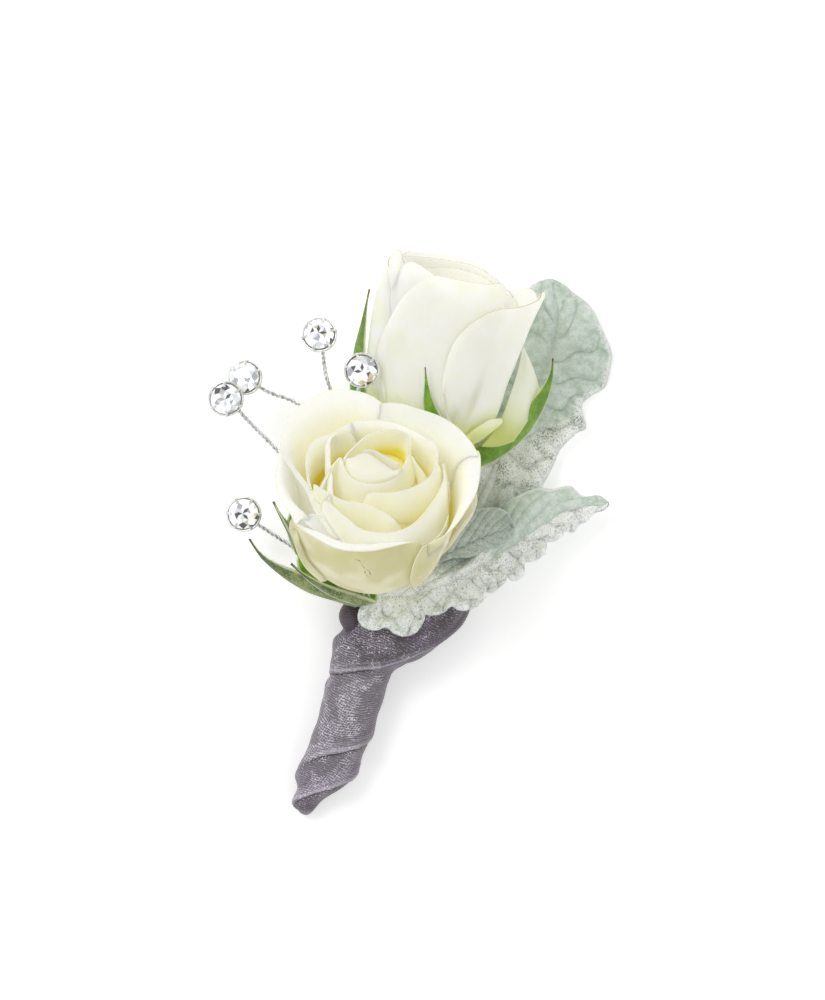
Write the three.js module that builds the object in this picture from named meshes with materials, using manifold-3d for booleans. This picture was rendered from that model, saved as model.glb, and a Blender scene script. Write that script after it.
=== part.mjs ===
// Lapel boutonniere: two cream spray roses, two felted grey leaves and five rhinestones on twisted
// wires, taped together and wound in ribbon. It lies on its back: X to the right, Y along the handle
// towards the blooms, Z up, in millimetres, with the surface it lies on at Z = 0.
import * as THREE from 'three';
import { mergeVertices } from 'three/addons/utils/BufferGeometryUtils.js';
import Module from 'manifold-3d';

const wasm = await Module();
wasm.setup();

// Driving dimensions
const GAP = 0.3; // clearance between pieces that touch
const PETAL = 0.7; // thickness of a petal
const SEPAL = 0.8; // thickness of a sepal
const LEAF = 0.8; // thickness of a felted leaf
const STEM_R = 1.25; // radius of a rose's stem
const STALK_R = 0.8; // radius of a leaf's stalk
const WIRE_R = 0.45; // half the width of a twisted wire
const WIRE_PITCH = 4; // length of one turn of the twist
const STONE_R = 2.9; // radius of a rhinestone's girdle
const CUP_WALL = 0.4; // thickness of a claw cup's wall
const RIBBON = 0.8; // thickness of the wound ribbon
const DEG = Math.PI / 180;

// How every petal is shaped between its root and its outline, as parts of the way up
const ROOT_SPREAD = 0.12; // how far the root is spread already
const FLARE_FROM = 0.35; // where a petal starts to leave its bowl
const LIP_FROM = 0.8; // where the lip starts to turn out
const LIP_DROP = 0.5; // fall of a lip for each millimetre it turns out
const ROOT_R = 0.4; // least distance of a petal from its bloom's axis
const PETAL_MERGE = 0.04; // largest change of shape when a bloom's petals are joined

const boutonniere = new THREE.Group();

function addPiece(name, geometry, colour, roughness, metalness = 0) {
  geometry.computeVertexNormals();
  const material = new THREE.MeshStandardMaterial({ color: colour, roughness, metalness });
  const mesh = new THREE.Mesh(geometry, material);
  mesh.name = name;
  boutonniere.add(mesh);
}

// A smooth curve through rows of numbers, read at t from 0 to 1
function along(rows, t) {
  const last = rows.length - 1;
  const i = Math.min(Math.floor(t * last), last - 1);
  const f = t * last - i;
  const row = (k) => rows[Math.max(0, Math.min(last, k))];
  return row(i).map((value, c) => {
    const before = row(i - 1)[c];
    const next = row(i + 1)[c];
    const after = row(i + 2)[c];
    const slope = (next - before) / 2;
    const nextSlope = (after - value) / 2;
    const rise = next - value;
    return value + f * (slope + f * (3 * rise - 2 * slope - nextSlope + f * (slope + nextSlope - 2 * rise)));
  });
}

// A value between rows of [place, value], on straight lines
function between(rows, place) {
  const next = rows.findIndex((row) => row[0] >= place);
  if (next === 0) return rows[0][1];
  if (next < 0) return rows[rows.length - 1][1];
  const [a, b] = [rows[next - 1], rows[next]];
  return a[1] + ((b[1] - a[1]) * (place - a[0])) / (b[0] - a[0]);
}

function smooth(from, to, value) {
  const t = Math.max(0, Math.min(1, (value - from) / (to - from)));
  return t * t * (3 - 2 * t);
}

// Solids from triangles, joins and cuts
function solidOf(geometry) {
  const bare = geometry.clone();
  bare.deleteAttribute('normal');
  bare.deleteAttribute('uv');
  const merged = mergeVertices(bare, 1e-5);
  const vertProperties = new Float32Array(merged.attributes.position.array);
  const triVerts = new Uint32Array(merged.index.array);
  return new wasm.Manifold(new wasm.Mesh({ numProp: 3, vertProperties, triVerts }));
}

function geometryOf(solid) {
  const mesh = solid.getMesh();
  const geometry = new THREE.BufferGeometry();
  geometry.setAttribute('position', new THREE.BufferAttribute(new Float32Array(mesh.vertProperties), 3));
  geometry.setIndex(new THREE.BufferAttribute(new Uint32Array(mesh.triVerts), 1));
  return geometry;
}

// The same solid without slivers and needless edges; the second pass takes what the first one frees
function cleaned(solid, merge = 0.02) {
  return solid.asOriginal().simplify(merge).asOriginal().simplify(merge);
}

// One body from several that run into each other; pockets closed off inside it are filled
function fused(geometries, merge) {
  const joined = geometries.map(solidOf).reduce((whole, piece) => whole.add(piece));
  const shells = cleaned(joined, merge).decompose();
  return shells.reduce((largest, shell) => (shell.volume() > largest.volume() ? shell : largest));
}

// The solid above the surface that the object lies on, so low spots become small flats
function restedOnTable(solid) {
  const below = new THREE.BoxGeometry(300, 300, 100).translate(0, 0, -50);
  return cleaned(solid.subtract(solidOf(below)));
}

function geometryFrom(positions, index) {
  const geometry = new THREE.BufferGeometry();
  geometry.setAttribute('position', new THREE.Float32BufferAttribute(positions, 3));
  geometry.setIndex(index);
  return geometry;
}

// A closed sheet of even thickness round the surface point(u, v), u from -1 to 1 and v from 0 to 1
function blade(point, thickness, across, up) {
  const step = 1e-3;
  const positions = [];
  for (const side of [1, -1]) {
    for (let j = 0; j <= up; j++) {
      for (let i = 0; i <= across; i++) {
        const u = -1 + (2 * i) / across;
        const v = j / up;
        const alongU = point(Math.min(u + step, 1), v).sub(point(Math.max(u - step, -1), v));
        const alongV = point(u, Math.min(v + step, 1)).sub(point(u, Math.max(v - step, 0)));
        const normal = alongU.cross(alongV).normalize();
        positions.push(...point(u, v).addScaledVector(normal, (side * thickness) / 2));
      }
    }
  }
  const row = across + 1;
  const under = row * (up + 1);
  const index = [];
  for (let j = 0; j < up; j++) {
    for (let i = 0; i < across; i++) {
      const a = j * row + i;
      index.push(a, a + 1, a + row + 1, a, a + row + 1, a + row);
      const b = under + a;
      index.push(b, b + row + 1, b + 1, b, b + row, b + row + 1);
    }
  }
  const rim = [];
  for (let i = 0; i < across; i++) rim.push(i);
  for (let j = 0; j < up; j++) rim.push(j * row + across);
  for (let i = across; i > 0; i--) rim.push(up * row + i);
  for (let j = up; j > 0; j--) rim.push(j * row);
  rim.forEach((a, k) => {
    const b = rim[(k + 1) % rim.length];
    index.push(a, under + b, b, a, under + a, under + b);
  });
  return geometryFrom(positions, index);
}

// A closed body through loops of points, with a flat cap at each end
function loft(loops) {
  const sides = loops[0].length;
  const positions = loops.flat().flatMap((p) => [p.x, p.y, p.z]);
  const index = [];
  for (let j = 0; j < loops.length - 1; j++) {
    for (let i = 0; i < sides; i++) {
      const a = j * sides + i;
      const b = j * sides + ((i + 1) % sides);
      index.push(a, b, b + sides, a, b + sides, a + sides);
    }
  }
  [0, loops.length - 1].forEach((j, end) => {
    const middle = loops[j].reduce((sum, p) => sum.add(p), new THREE.Vector3()).divideScalar(sides);
    positions.push(middle.x, middle.y, middle.z);
    const centre = positions.length / 3 - 1;
    for (let i = 0; i < sides; i++) {
      const a = j * sides + i;
      const b = j * sides + ((i + 1) % sides);
      index.push(centre, ...(end ? [a, b] : [b, a]));
    }
  });
  return geometryFrom(positions, index);
}

// A body along a curve through hand-set points, turned a little further at each ring if it is twisted
function swept(points, radiusAt, rings, sides, turnsPerRing = 0) {
  const curve = new THREE.CatmullRomCurve3(points.map((p) => new THREE.Vector3(...p)));
  const frames = curve.computeFrenetFrames(rings);
  const loops = [];
  for (let j = 0; j <= rings; j++) {
    const centre = curve.getPointAt(j / rings);
    const loop = [];
    for (let i = 0; i < sides; i++) {
      const angle = 2 * Math.PI * (i / sides + (j * turnsPerRing) / sides);
      const radius = radiusAt(j / rings);
      const spoke = frames.normals[j].clone().multiplyScalar(radius * Math.cos(angle));
      loop.push(spoke.addScaledVector(frames.binormals[j], radius * Math.sin(angle)).add(centre));
    }
    loops.push(loop);
  }
  return loft(loops);
}

function stem(points, radius, rings = 10, sides = 7) {
  return swept(points, () => radius, rings, sides);
}

// Blooms: each stands on its own axis. A place in a bloom is an angle round the axis, a radius and
// a height above the calyx. Its bowl is the radius that its petals keep to at each height.
function bloomFrame(calyx, axis, bowl) {
  const up = new THREE.Vector3(...axis).normalize();
  const right = new THREE.Vector3(1, 0, 0).addScaledVector(up, -up.x).normalize();
  const back = up.clone().cross(right);
  return { origin: new THREE.Vector3(...calyx), up, right, back, bowl };
}

function placeIn(bloom, angle, radius, height) {
  return bloom.origin
    .clone()
    .addScaledVector(bloom.right, radius * Math.cos(angle))
    .addScaledVector(bloom.back, radius * Math.sin(angle))
    .addScaledVector(bloom.up, height);
}

// The place in the bloom that shows at [x, y] from straight above, at a height above the calyx
function seenAt(bloom, [x, y, height]) {
  const dx = x - bloom.origin.x - height * bloom.up.x;
  const dy = y - bloom.origin.y - height * bloom.up.y;
  const det = bloom.right.x * bloom.back.y - bloom.right.y * bloom.back.x;
  const a = (dx * bloom.back.y - dy * bloom.back.x) / det;
  const b = (dy * bloom.right.x - dx * bloom.right.y) / det;
  return [Math.atan2(b, a), Math.hypot(a, b), height];
}

// The outline as angle, radius and height, with the angle running on past half a turn
function outlineIn(bloom, rows, seen) {
  let last = null;
  return rows.map((row) => {
    const place = seen ? seenAt(bloom, row) : [row[0] * DEG, row[1], row[2]];
    while (last !== null && place[0] - last > Math.PI) place[0] -= 2 * Math.PI;
    while (last !== null && last - place[0] > Math.PI) place[0] += 2 * Math.PI;
    last = place[0];
    return place;
  });
}

// A petal fans out from its root to its outline. It keeps to the bowl, drawn in by its layer, and
// leaves it near the rim for the outline's own radius. The lip turns out and down past the outline.
function petalSurface(bloom, petal) {
  const outline = outlineIn(bloom, petal.outline, petal.seen);
  const angles = outline.map((place) => place[0]);
  const middle = (Math.min(...angles) + Math.max(...angles)) / 2;
  const root = petal.root ?? 1;
  const lip = petal.lip ?? 0;
  return (u, v) => {
    const [angle, radius, height] = along(outline, (u + 1) / 2);
    const spread = Math.sin((Math.min(1, ROOT_SPREAD + v) * Math.PI) / 2);
    const turned = middle + (angle - middle) * spread;
    const h = root + (height - root) * v;
    const body = petal.layer * between(bloom.bowl, h);
    const rimBody = petal.layer * between(bloom.bowl, height);
    const flare = (radius - rimBody) * smooth(FLARE_FROM, 1, v);
    const curl = lip * smooth(LIP_FROM, 1, v) * (1 - u * u);
    return placeIn(bloom, turned, Math.max(ROOT_R, body + flare + curl), h - LIP_DROP * curl);
  };
}

// A body turned round the bloom's axis, its profile in radius and height above the calyx
function turnedIn(bloom, profile) {
  const points = profile.map(([radius, height]) => new THREE.Vector2(radius, height));
  const basis = new THREE.Matrix4().makeBasis(bloom.right, bloom.back, bloom.up).setPosition(bloom.origin);
  return new THREE.LatheGeometry(points, 12).rotateX(Math.PI / 2).applyMatrix4(basis);
}

function bloomSolid(bloom, core, petals) {
  const blades = petals.map((petal) => blade(petalSurface(bloom, petal), PETAL, petal.across, petal.up));
  return fused([turnedIn(bloom, core), ...blades], PETAL_MERGE);
}

// A narrow leaf-like blade along a hand-set midline, widest a third of the way up and pointed at its
// tip. Facing is the way its inner face looks; cup lifts its edges.
function strap(points, facing, width, cup, across = 2, up = 8) {
  const curve = new THREE.CatmullRomCurve3(points.map((p) => new THREE.Vector3(...p)));
  const inner = new THREE.Vector3(...facing).normalize();
  return blade(
    (u, v) => {
      const t = curve.getTangentAt(Math.min(1, Math.max(0, v)));
      const side = t.clone().cross(inner).normalize();
      const lift = side.clone().cross(t).normalize();
      const taper = v < 0.35 ? 0.75 + 0.25 * smooth(0, 0.35, v) : 1 - 0.93 * smooth(0.35, 1, v);
      const half = width * taper;
      return curve
        .getPointAt(v)
        .addScaledVector(side, u * half)
        .addScaledVector(lift, cup * half * u * u);
    },
    SEPAL,
    across,
    up,
  );
}

// Hip, sepals and stem of a rose, grown as one piece
function greenSolid(bloom, stemRoute, sepals) {
  const hip = turnedIn(bloom, [
    [0, -6.2],
    [STEM_R, -6.2],
    [2.3, -4.6],
    [3.2, -3],
    [3.3, -1.6],
    [4.4, -0.7 - GAP],
    [0, -GAP],
  ]);
  return fused([hip, stem(stemRoute, STEM_R), ...sepals]);
}

// A sepal that starts inside the hip's upper edge and runs on through hand-set points
function sepalFrom(bloom, degrees, points, facing, width, cup) {
  const root = placeIn(bloom, degrees * DEG, 2.4, -1.7).toArray();
  const shoulder = placeIn(bloom, degrees * DEG, 5, -1).toArray();
  return strap([root, shoulder, ...points], facing, width, cup);
}

function facingAxis(bloom, degrees, lean) {
  const out = placeIn(bloom, degrees * DEG, 1, 0).sub(bloom.origin);
  return bloom.up.clone().addScaledVector(out, -lean).toArray();
}

// Sepals hidden behind a bloom lie along the outside of its bowl
function hiddenSepal(bloom, degrees, length) {
  const clear = PETAL / 2 + SEPAL / 2 + 0.9;
  const points = [0.45, 0.7, 1].map((t) => {
    const height = -1.2 + length * t * t;
    const radius = Math.max(7, between(bloom.bowl, height + 1.2) + clear);
    return placeIn(bloom, degrees * DEG, radius, height).toArray();
  });
  return sepalFrom(bloom, degrees, points, facingAxis(bloom, degrees, 0.6), 2.2, 0.1);
}

// or are bent back along the stem
function bentBackSepal(bloom, degrees) {
  const points = [[6.4, -2.6], [6.6, -5.6], [5.8, -9]].map(([radius, height]) =>
    placeIn(bloom, degrees * DEG, radius, height).toArray(),
  );
  return sepalFrom(bloom, degrees, points, facingAxis(bloom, degrees, -0.8), 1.9, 0.1);
}

// Front rose: open, facing up and towards the top of the picture
const frontBowl = [
  [0, 3.2], [2, 6.5], [5, 10], [8, 12.4], [12, 15.1], [16, 17], [20, 18.2], [26, 19], [36, 20],
];
const front = bloomFrame([-8.7, -6, 12.5], [0.06, 0.572, 0.818], frontBowl);
const frontCore = [
  [0, 0], [3.2, 0], [6, 2], [8, 5], [8.6, 9], [8, 14], [6.5, 19], [4, 24], [0, 26.5],
];

// Outlines of the front petals, read from the left end over the rim to the right end. Each row is the
// place seen from straight above, X and Y, and the height above the calyx.
const frontPetals = [
  {
    // back left, outermost
    layer: 0.93, seen: true, across: 9, up: 5,
    outline: [
      [-19, 3.6, 18], [-20.1, 6.8, 22], [-23.1, 10.8, 28], [-25.7, 15.4, 32.5], [-25.9, 19, 33],
      [-24.9, 22.6, 33.5], [-21.9, 25.9, 34], [-16.7, 28.6, 34.5], [-11.3, 28.6, 34.5],
      [-6.7, 26.8, 34], [-3.5, 23, 28], [-3, 18, 18],
    ],
  },
  {
    // back right
    layer: 0.86, seen: true, across: 9, up: 5,
    outline: [
      [-10.5, 18, 18], [-9.5, 23.5, 28], [-6.3, 25.8, 33], [-2.3, 26, 33.5], [1.7, 24.8, 34],
      [7.1, 22.6, 34], [10.7, 19.6, 34], [12.9, 16.4, 33], [13.3, 13.6, 30], [11.5, 9, 20],
    ],
  },
  {
    // right, its near end hanging down outside the bowl
    layer: 1.03, seen: true, across: 9, up: 5, lip: 1,
    outline: [
      [11.2, 14, 22], [13.2, 16.6, 31], [13.7, 13, 33], [12.9, 8.4, 32.5], [10.6, 4.6, 32],
      [6.9, 0.2, 31.7], [3.7, -1.8, 31.5], [0.9, -4.4, 30], [-0.3, -5.6, 28], [-0.1, -8.2, 24],
      [1.1, -10.8, 19],
    ],
  },
  {
    // left, outside the back left one
    layer: 1.04, seen: true, across: 7, up: 5,
    outline: [
      [-24, 12, 20], [-25.7, 16.4, 31], [-26.7, 14.2, 32], [-26.9, 11.8, 32], [-26.3, 9.4, 31.5],
      [-24.1, 7, 31], [-23.1, 4.4, 30.5], [-22.5, 2, 30], [-20.5, 0.5, 27], [-18.5, -5, 16],
    ],
  },
  {
    // front, with a broad lip
    layer: 0.98, seen: true, across: 9, up: 5, lip: 2,
    outline: [
      [-22.5, -1.5, 22], [-21.1, 2.8, 31], [-19.5, 0.8, 32], [-16.1, -0.6, 32.4], [-11.7, -1.2, 32.5],
      [-7.1, -1.4, 32.5], [-3.1, -0.8, 32.2], [-0.3, -1.2, 31.5], [2.1, -2.4, 30], [3.5, -6.5, 20],
    ],
  },
  {
    // tip of a petal that shows behind the right one
    layer: 1.04, seen: true, across: 6, up: 5,
    outline: [[13, 8, 20], [13.4, 7.4, 28], [12.3, 4.6, 29], [10.1, 2.4, 28], [8, -2, 18]],
  },
  {
    // second ring, left
    layer: 0.74, seen: true, across: 8, up: 5,
    outline: [
      [-18.5, 5, 22], [-19.9, 9.2, 30], [-20.7, 12.4, 33], [-20.9, 14.8, 33.5], [-20.1, 17.4, 34],
      [-18.3, 19, 34], [-15.5, 20.2, 34.3], [-11.7, 22, 34.3], [-9.5, 19, 28],
    ],
  },
  {
    // second ring, back
    layer: 0.62, seen: true, across: 8, up: 5,
    outline: [
      [-13, 17, 27], [-12.3, 21.6, 34], [-8.3, 22.6, 35], [-3.9, 22.2, 35], [-0.3, 20.8, 35],
      [2.9, 19.2, 34.7], [5.1, 17.4, 34.2], [5.3, 13.4, 30], [4.4, 10, 24],
    ],
  },
  {
    // second ring, the front cup
    layer: 0.8, seen: true, across: 10, up: 5, lip: 0.6,
    outline: [
      [-17.5, 3, 24], [-16.5, 6.4, 31.6], [-13.3, 3.8, 32.4], [-10.3, 1.4, 33], [-7.7, 0.6, 33],
      [-2.3, 0.8, 33], [0.7, 2.4, 33], [3.3, 5.2, 33], [5.5, 8.6, 33.5], [6.6, 11.6, 34],
      [6.3, 14, 34.5], [6, 9, 26],
    ],
  },
  {
    // third ring, from the left across the front
    layer: 0.6, seen: true, across: 8, up: 5,
    outline: [
      [-18, 8, 26], [-19.5, 9.6, 33], [-16.3, 8, 33], [-13.7, 6.8, 33.5], [-10.5, 6.2, 34],
      [-7.1, 5.2, 33.6], [-3.7, 3.2, 32.5], [-2.5, 1, 27],
    ],
  },
  {
    // third ring, front right
    layer: 0.47, seen: true, across: 7, up: 5,
    outline: [
      [-10, 5, 28], [-8.7, 8, 33.5], [-5.7, 8.4, 34], [-2.1, 8.6, 34.5], [1.1, 9.8, 35],
      [3.9, 11.8, 35], [4.6, 14.6, 35], [3.4, 12, 28],
    ],
  },
  {
    // third ring, left
    layer: 0.45, seen: true, across: 6, up: 5,
    outline: [
      [-14.2, 7.5, 29], [-15.5, 8, 33], [-15.7, 11.8, 34], [-16.1, 15.8, 34.5], [-15.7, 19.2, 35],
      [-12.5, 20.4, 35], [-10.5, 17, 29],
    ],
  },
  {
    // whorl, back
    layer: 0.36, seen: true, across: 7, up: 4,
    outline: [
      [-13, 11, 29], [-14.1, 14.8, 34.5], [-11.9, 17.6, 35], [-7.7, 19.6, 35.5], [-4.5, 20.6, 35.5],
      [-1.3, 20, 35.5], [0.2, 17.6, 35], [-0.5, 14.5, 29],
    ],
  },
  {
    // whorl, front
    layer: 0.28, seen: true, across: 7, up: 4,
    outline: [
      [-12.4, 13, 29], [-13.1, 14.2, 34.8], [-12.5, 12.2, 35], [-10.5, 10.4, 35], [-7.1, 9.6, 35],
      [-3.7, 10.6, 35], [-1.9, 12.4, 35], [-1.4, 14.8, 34.5],
    ],
  },
  {
    // whorl, the inner strip
    layer: 0.14, seen: true, across: 5, up: 4,
    outline: [[-9.6, 14.4, 30], [-8.9, 15.8, 35.5], [-5.5, 15, 35.6], [-2.1, 13.2, 35.5], [-1.9, 12, 30]],
  },
];

const frontSepals = [
  sepalFrom(
    front, -120,
    [[-13.6, -11.8, 17.9], [-19, -11.5, 18.9], [-25, -8.6, 18.4], [-29.6, -5, 17], [-32.5, -1, 16]],
    [0.1, 0.85, 0.5], 2.5, 0.35,
  ),
  sepalFrom(
    front, -92,
    [[-10.6, -12.2, 18.9], [-15.6, -12, 21.1], [-20.6, -9.2, 21.4], [-24.1, -6, 20.9]],
    [0.2, 0.8, 0.6], 2.2, 0.3,
  ),
  sepalFrom(
    front, -168,
    [[-18, -5.8, 15.3], [-22.6, -3.6, 18.1], [-25.2, 1, 21.3], [-27.5, 6.4, 23.1]],
    [0.75, 0.1, 0.65], 2.1, 0.2,
  ),
  hiddenSepal(front, 32, 7),
  hiddenSepal(front, 108, 8),
];
const frontStem = [
  [-8.98, -8.86, 8.4], [-9.2, -11.6, 6.3], [-9.5, -16, 5], [-10.2, -22, 5.3], [-11.6, -29.2, 5.6],
  [-14.4, -38.5, 5.5],
];

addPiece('front_rose_petals', geometryOf(bloomSolid(front, frontCore, frontPetals)), '#f3efdc', 0.55);
addPiece('front_rose_green', geometryOf(greenSolid(front, frontStem, frontSepals)), '#7d9148', 0.6);

// Rear rose: half open, lying on its side, its top towards the top of the picture
const rearBowl = [
  [0, 3], [2, 6.2], [4.7, 9.4], [8, 11.4], [11, 12.5], [16, 13.1], [27, 13.5], [44, 14.2],
];
const rear = bloomFrame([2.8, 16.6, 10.5], [0.199, 0.931, 0.305], rearBowl);
const rearCore = [
  [0, 0], [2.8, 0], [5.4, 2], [7, 5], [8, 10], [8.4, 18], [7.4, 25], [4, 30], [0, 31.5],
];

// Outlines of the rear petals, from the left end over the rim to the right end. Each row is the angle
// in degrees (-90 faces up, 0 right), the radius and the height above the calyx.
const rearPetals = [
  {
    // the broad front petal
    layer: 0.96, across: 9, up: 5,
    outline: [
      [-178, 12.4, 11], [-175, 13.8, 19.5], [-158, 14.4, 25.6], [-146, 14.5, 31.5], [-134, 14.6, 36.1],
      [-118, 14.6, 40.1], [-96, 14.6, 40.8], [-76, 14.6, 40.9], [-57, 14.5, 40.7], [-54, 14, 33],
      [-50, 12, 17],
    ],
  },
  {
    // right, its far corner turned out
    layer: 1, across: 10, up: 5, lip: 0.6,
    outline: [
      [-66, 11.4, 8], [-84, 13.8, 15.6], [-91, 15.2, 24], [-83, 15.6, 31.4], [-60, 15.8, 36.2],
      [-30, 16, 38], [-2, 16.8, 38.2], [20, 15.9, 36], [42, 15.2, 34], [58, 14.6, 28], [54, 12, 12],
    ],
  },
  {
    // left, outermost
    layer: 1.1, across: 8, up: 5,
    outline: [
      [-150, 12.6, 10], [-157, 14.6, 19], [-166, 14.6, 29], [-176, 14.3, 35], [-190, 14.4, 37.6],
      [-206, 14.8, 37], [-220, 14.8, 31], [-226, 13.6, 17],
    ],
  },
  {
    // underneath
    layer: 1, across: 8, up: 5,
    outline: [
      [46, 12, 12], [44, 14, 24], [52, 14.6, 32], [66, 14.8, 35], [86, 14.8, 36.9], [118, 14.8, 36.8],
      [143, 14.8, 37.3], [156, 14.6, 33], [150, 13.4, 22], [140, 12, 12],
    ],
  },
  {
    // behind the front petal, at its left shoulder
    layer: 0.9, across: 6, up: 5,
    outline: [
      [-172, 12, 20], [-166, 13.6, 32], [-156, 14, 38], [-144, 13.9, 40.8], [-132, 13.5, 40.8],
      [-117, 13.2, 39.8], [-106, 12.8, 37], [-104, 12, 26],
    ],
  },
  {
    // the narrow fold at the upper left
    layer: 0.86, across: 5, up: 5,
    outline: [
      [-166, 11.6, 24], [-172, 13.6, 34], [-172, 14.8, 39.6], [-164, 14.9, 41.6], [-156, 14.4, 41],
      [-154, 13.2, 35], [-152, 11.8, 26],
    ],
  },
  {
    // second ring, back
    layer: 0.8, across: 8, up: 4,
    outline: [
      [24, 11, 22], [22, 12.4, 32], [46, 12.6, 34.6], [78, 12.6, 36.4], [110, 12.6, 36.6],
      [140, 12.6, 37.2], [168, 12.6, 38], [182, 11.6, 36], [184, 10.6, 25],
    ],
  },
  {
    // second ring, front
    layer: 0.74, across: 7, up: 4,
    outline: [
      [-188, 10, 24], [-182, 11.2, 34], [-160, 11.6, 37.6], [-120, 11.4, 39], [-80, 11.4, 39],
      [-40, 11.6, 37.6], [-14, 11.6, 34], [-8, 10.4, 24],
    ],
  },
  {
    // third ring, back
    layer: 0.56, across: 6, up: 4,
    outline: [
      [-20, 7.4, 24], [-4, 8.6, 33], [30, 9, 35], [75, 9.2, 36], [120, 9.2, 36], [160, 8.8, 35],
      [178, 7.6, 26],
    ],
  },
  {
    // the folded heart
    layer: 0.36, across: 6, up: 4,
    outline: [
      [-210, 5, 26], [-190, 5.8, 33.6], [-140, 6, 35.6], [-90, 6, 36], [-40, 6, 35.4], [0, 5.8, 33],
      [14, 5, 26],
    ],
  },
  {
    // a guard petal standing off at the right
    layer: 1, across: 5, up: 6,
    outline: [
      [-34, 10.4, 3], [-33, 15.4, 9], [-34, 17, 15], [-32, 17.4, 20.5], [-24, 16.6, 25.2],
      [-8, 17.8, 21.5], [2, 17.6, 16], [4, 15.4, 9], [4, 10.4, 3],
    ],
  },
];

const rearSepals = [
  sepalFrom(
    rear, -20,
    [
      [10, 14.4, 10.2], [15.8, 16.2, 11], [21.6, 20.4, 12], [25.8, 26.4, 14], [27.8, 31, 15.4],
      [28.3, 35.2, 16.6],
    ],
    [-0.55, 0.7, 0.45], 2.5, 0.3,
  ),
  sepalFrom(
    rear, 190,
    [[-7.6, 19.8, 11.6], [-10.8, 28, 12.6], [-10.7, 36, 15.4], [-9.6, 42.6, 18], [-8.4, 49, 19.4]],
    [0.95, -0.1, 0.3], 2.1, 0.25,
  ),
  sepalFrom(
    rear, -62,
    [[6.7, 14.6, 17.4], [7.9, 18.2, 23.6], [6, 22.6, 27.2], [3.5, 26.6, 28.4], [2.7, 33.2, 30.6]],
    [-0.1, 0.6, -0.8], 1.5, 0.15,
  ),
  bentBackSepal(rear, 54),
  bentBackSepal(rear, 126),
];
const rearStem = [
  [1.57, 10.83, 8.6], [0.8, 6, 7.2], [-1.2, -2, 6.2], [-3.6, -11, 5.4], [-6.2, -20, 5.4],
  [-8.6, -29.2, 5.6], [-11.6, -38.5, 5.5],
];

addPiece('rear_rose_petals', geometryOf(bloomSolid(rear, rearCore, rearPetals)), '#f5f3e8', 0.55);
addPiece('rear_rose_green', geometryOf(greenSolid(rear, rearStem, rearSepals)), '#7ba32a', 0.6);

// A felted leaf spreads from its midrib to its left and right outlines, each read from base to tip.
// The midrib rows hold X, Y and the height of the blade; wave(x, y) bends it.
function leafSurface(midrib, left, right, wave) {
  return (u, v) => {
    const rib = along(midrib, v);
    const edge = along(u < 0 ? left : right, v);
    const out = Math.abs(u);
    const x = rib[0] + (edge[0] - rib[0]) * out;
    const y = rib[1] + (edge[1] - rib[1]) * out;
    const z = rib[2] + (edge[2] - rib[2]) * out * out;
    return new THREE.Vector3(x, y, z + wave(x, y) * Math.sin(0.9 * Math.PI * out));
  };
}

// Upper leaf, behind both roses, with its low rounded lobe at the right of the front rose
const upperRib = [
  [9, -2, 1.3], [14, 6, 1.2], [17.6, 14.6, 1.1], [21.6, 22, 1.2], [25.2, 29.4, 1.4], [28.2, 37, 1.7],
  [29.6, 44.6, 2.2], [28.1, 51.2, 3],
];
const upperRight = [
  [8.1, -4.2, 3.4], [11.5, -4.4, 3.8], [15.5, -3.4, 4], [18.3, -2.4, 4], [19.7, -0.6, 3.8],
  [20.1, 1.8, 3.4], [19.3, 4.2, 3], [17.7, 5, 2.4], [22.7, 7.6, 3.4], [25.3, 8.4, 3.8],
  [28.1, 12.8, 3], [30.1, 17.2, 3.2], [33.3, 20.4, 3.4], [35.1, 21.6, 3.4], [34.3, 25.8, 2],
  [36.1, 27.8, 1.2], [39.1, 29.8, 0.3], [40.1, 33.8, 0.6], [40.3, 36.8, 1.6], [37.7, 42.8, 2.2],
  [35.7, 46.2, 2.6], [32.7, 48.4, 2.8], [30.7, 50.2, 3], [28.1, 51.2, 3],
];
const upperLeft = [
  [6, -3, 1], [-1, -2.4, 0.5], [-6, 2, 0.35], [-7.4, 8, 0.35], [-2.4, 11.4, 0.5], [-5, 14.4, 0.4],
  [-8.8, 18, 0.3], [-5.6, 22.4, 0.3], [1.6, 26, 0.5], [6, 29, 0.7], [8.6, 33, 0.5], [9.6, 38.6, 0.3],
  [14.6, 41, 0.6], [18, 44.6, 1.4], [22, 48.2, 2.4], [25.7, 50.8, 3], [28.1, 51.2, 3],
];
const upperWave = (x, y) => 0.35 * Math.sin(0.55 * x + 0.4 * y);
const upperStalk = [
  [17.4, 14, 1.1], [14, 6, 1.3], [9.4, -2, 1.6], [4, -10, 2], [-2.8, -20, 2.5], [-8.2, -29, 2.7],
  [-10.8, -37, 2.7],
];
const upperLeaf = fused([
  blade(leafSurface(upperRib, upperLeft, upperRight, upperWave), LEAF, 6, 32),
  stem(upperStalk, STALK_R, 12, 6),
]);
addPiece('leaf_upper', geometryOf(restedOnTable(upperLeaf)), '#a5b4a5', 0.9);

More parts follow.
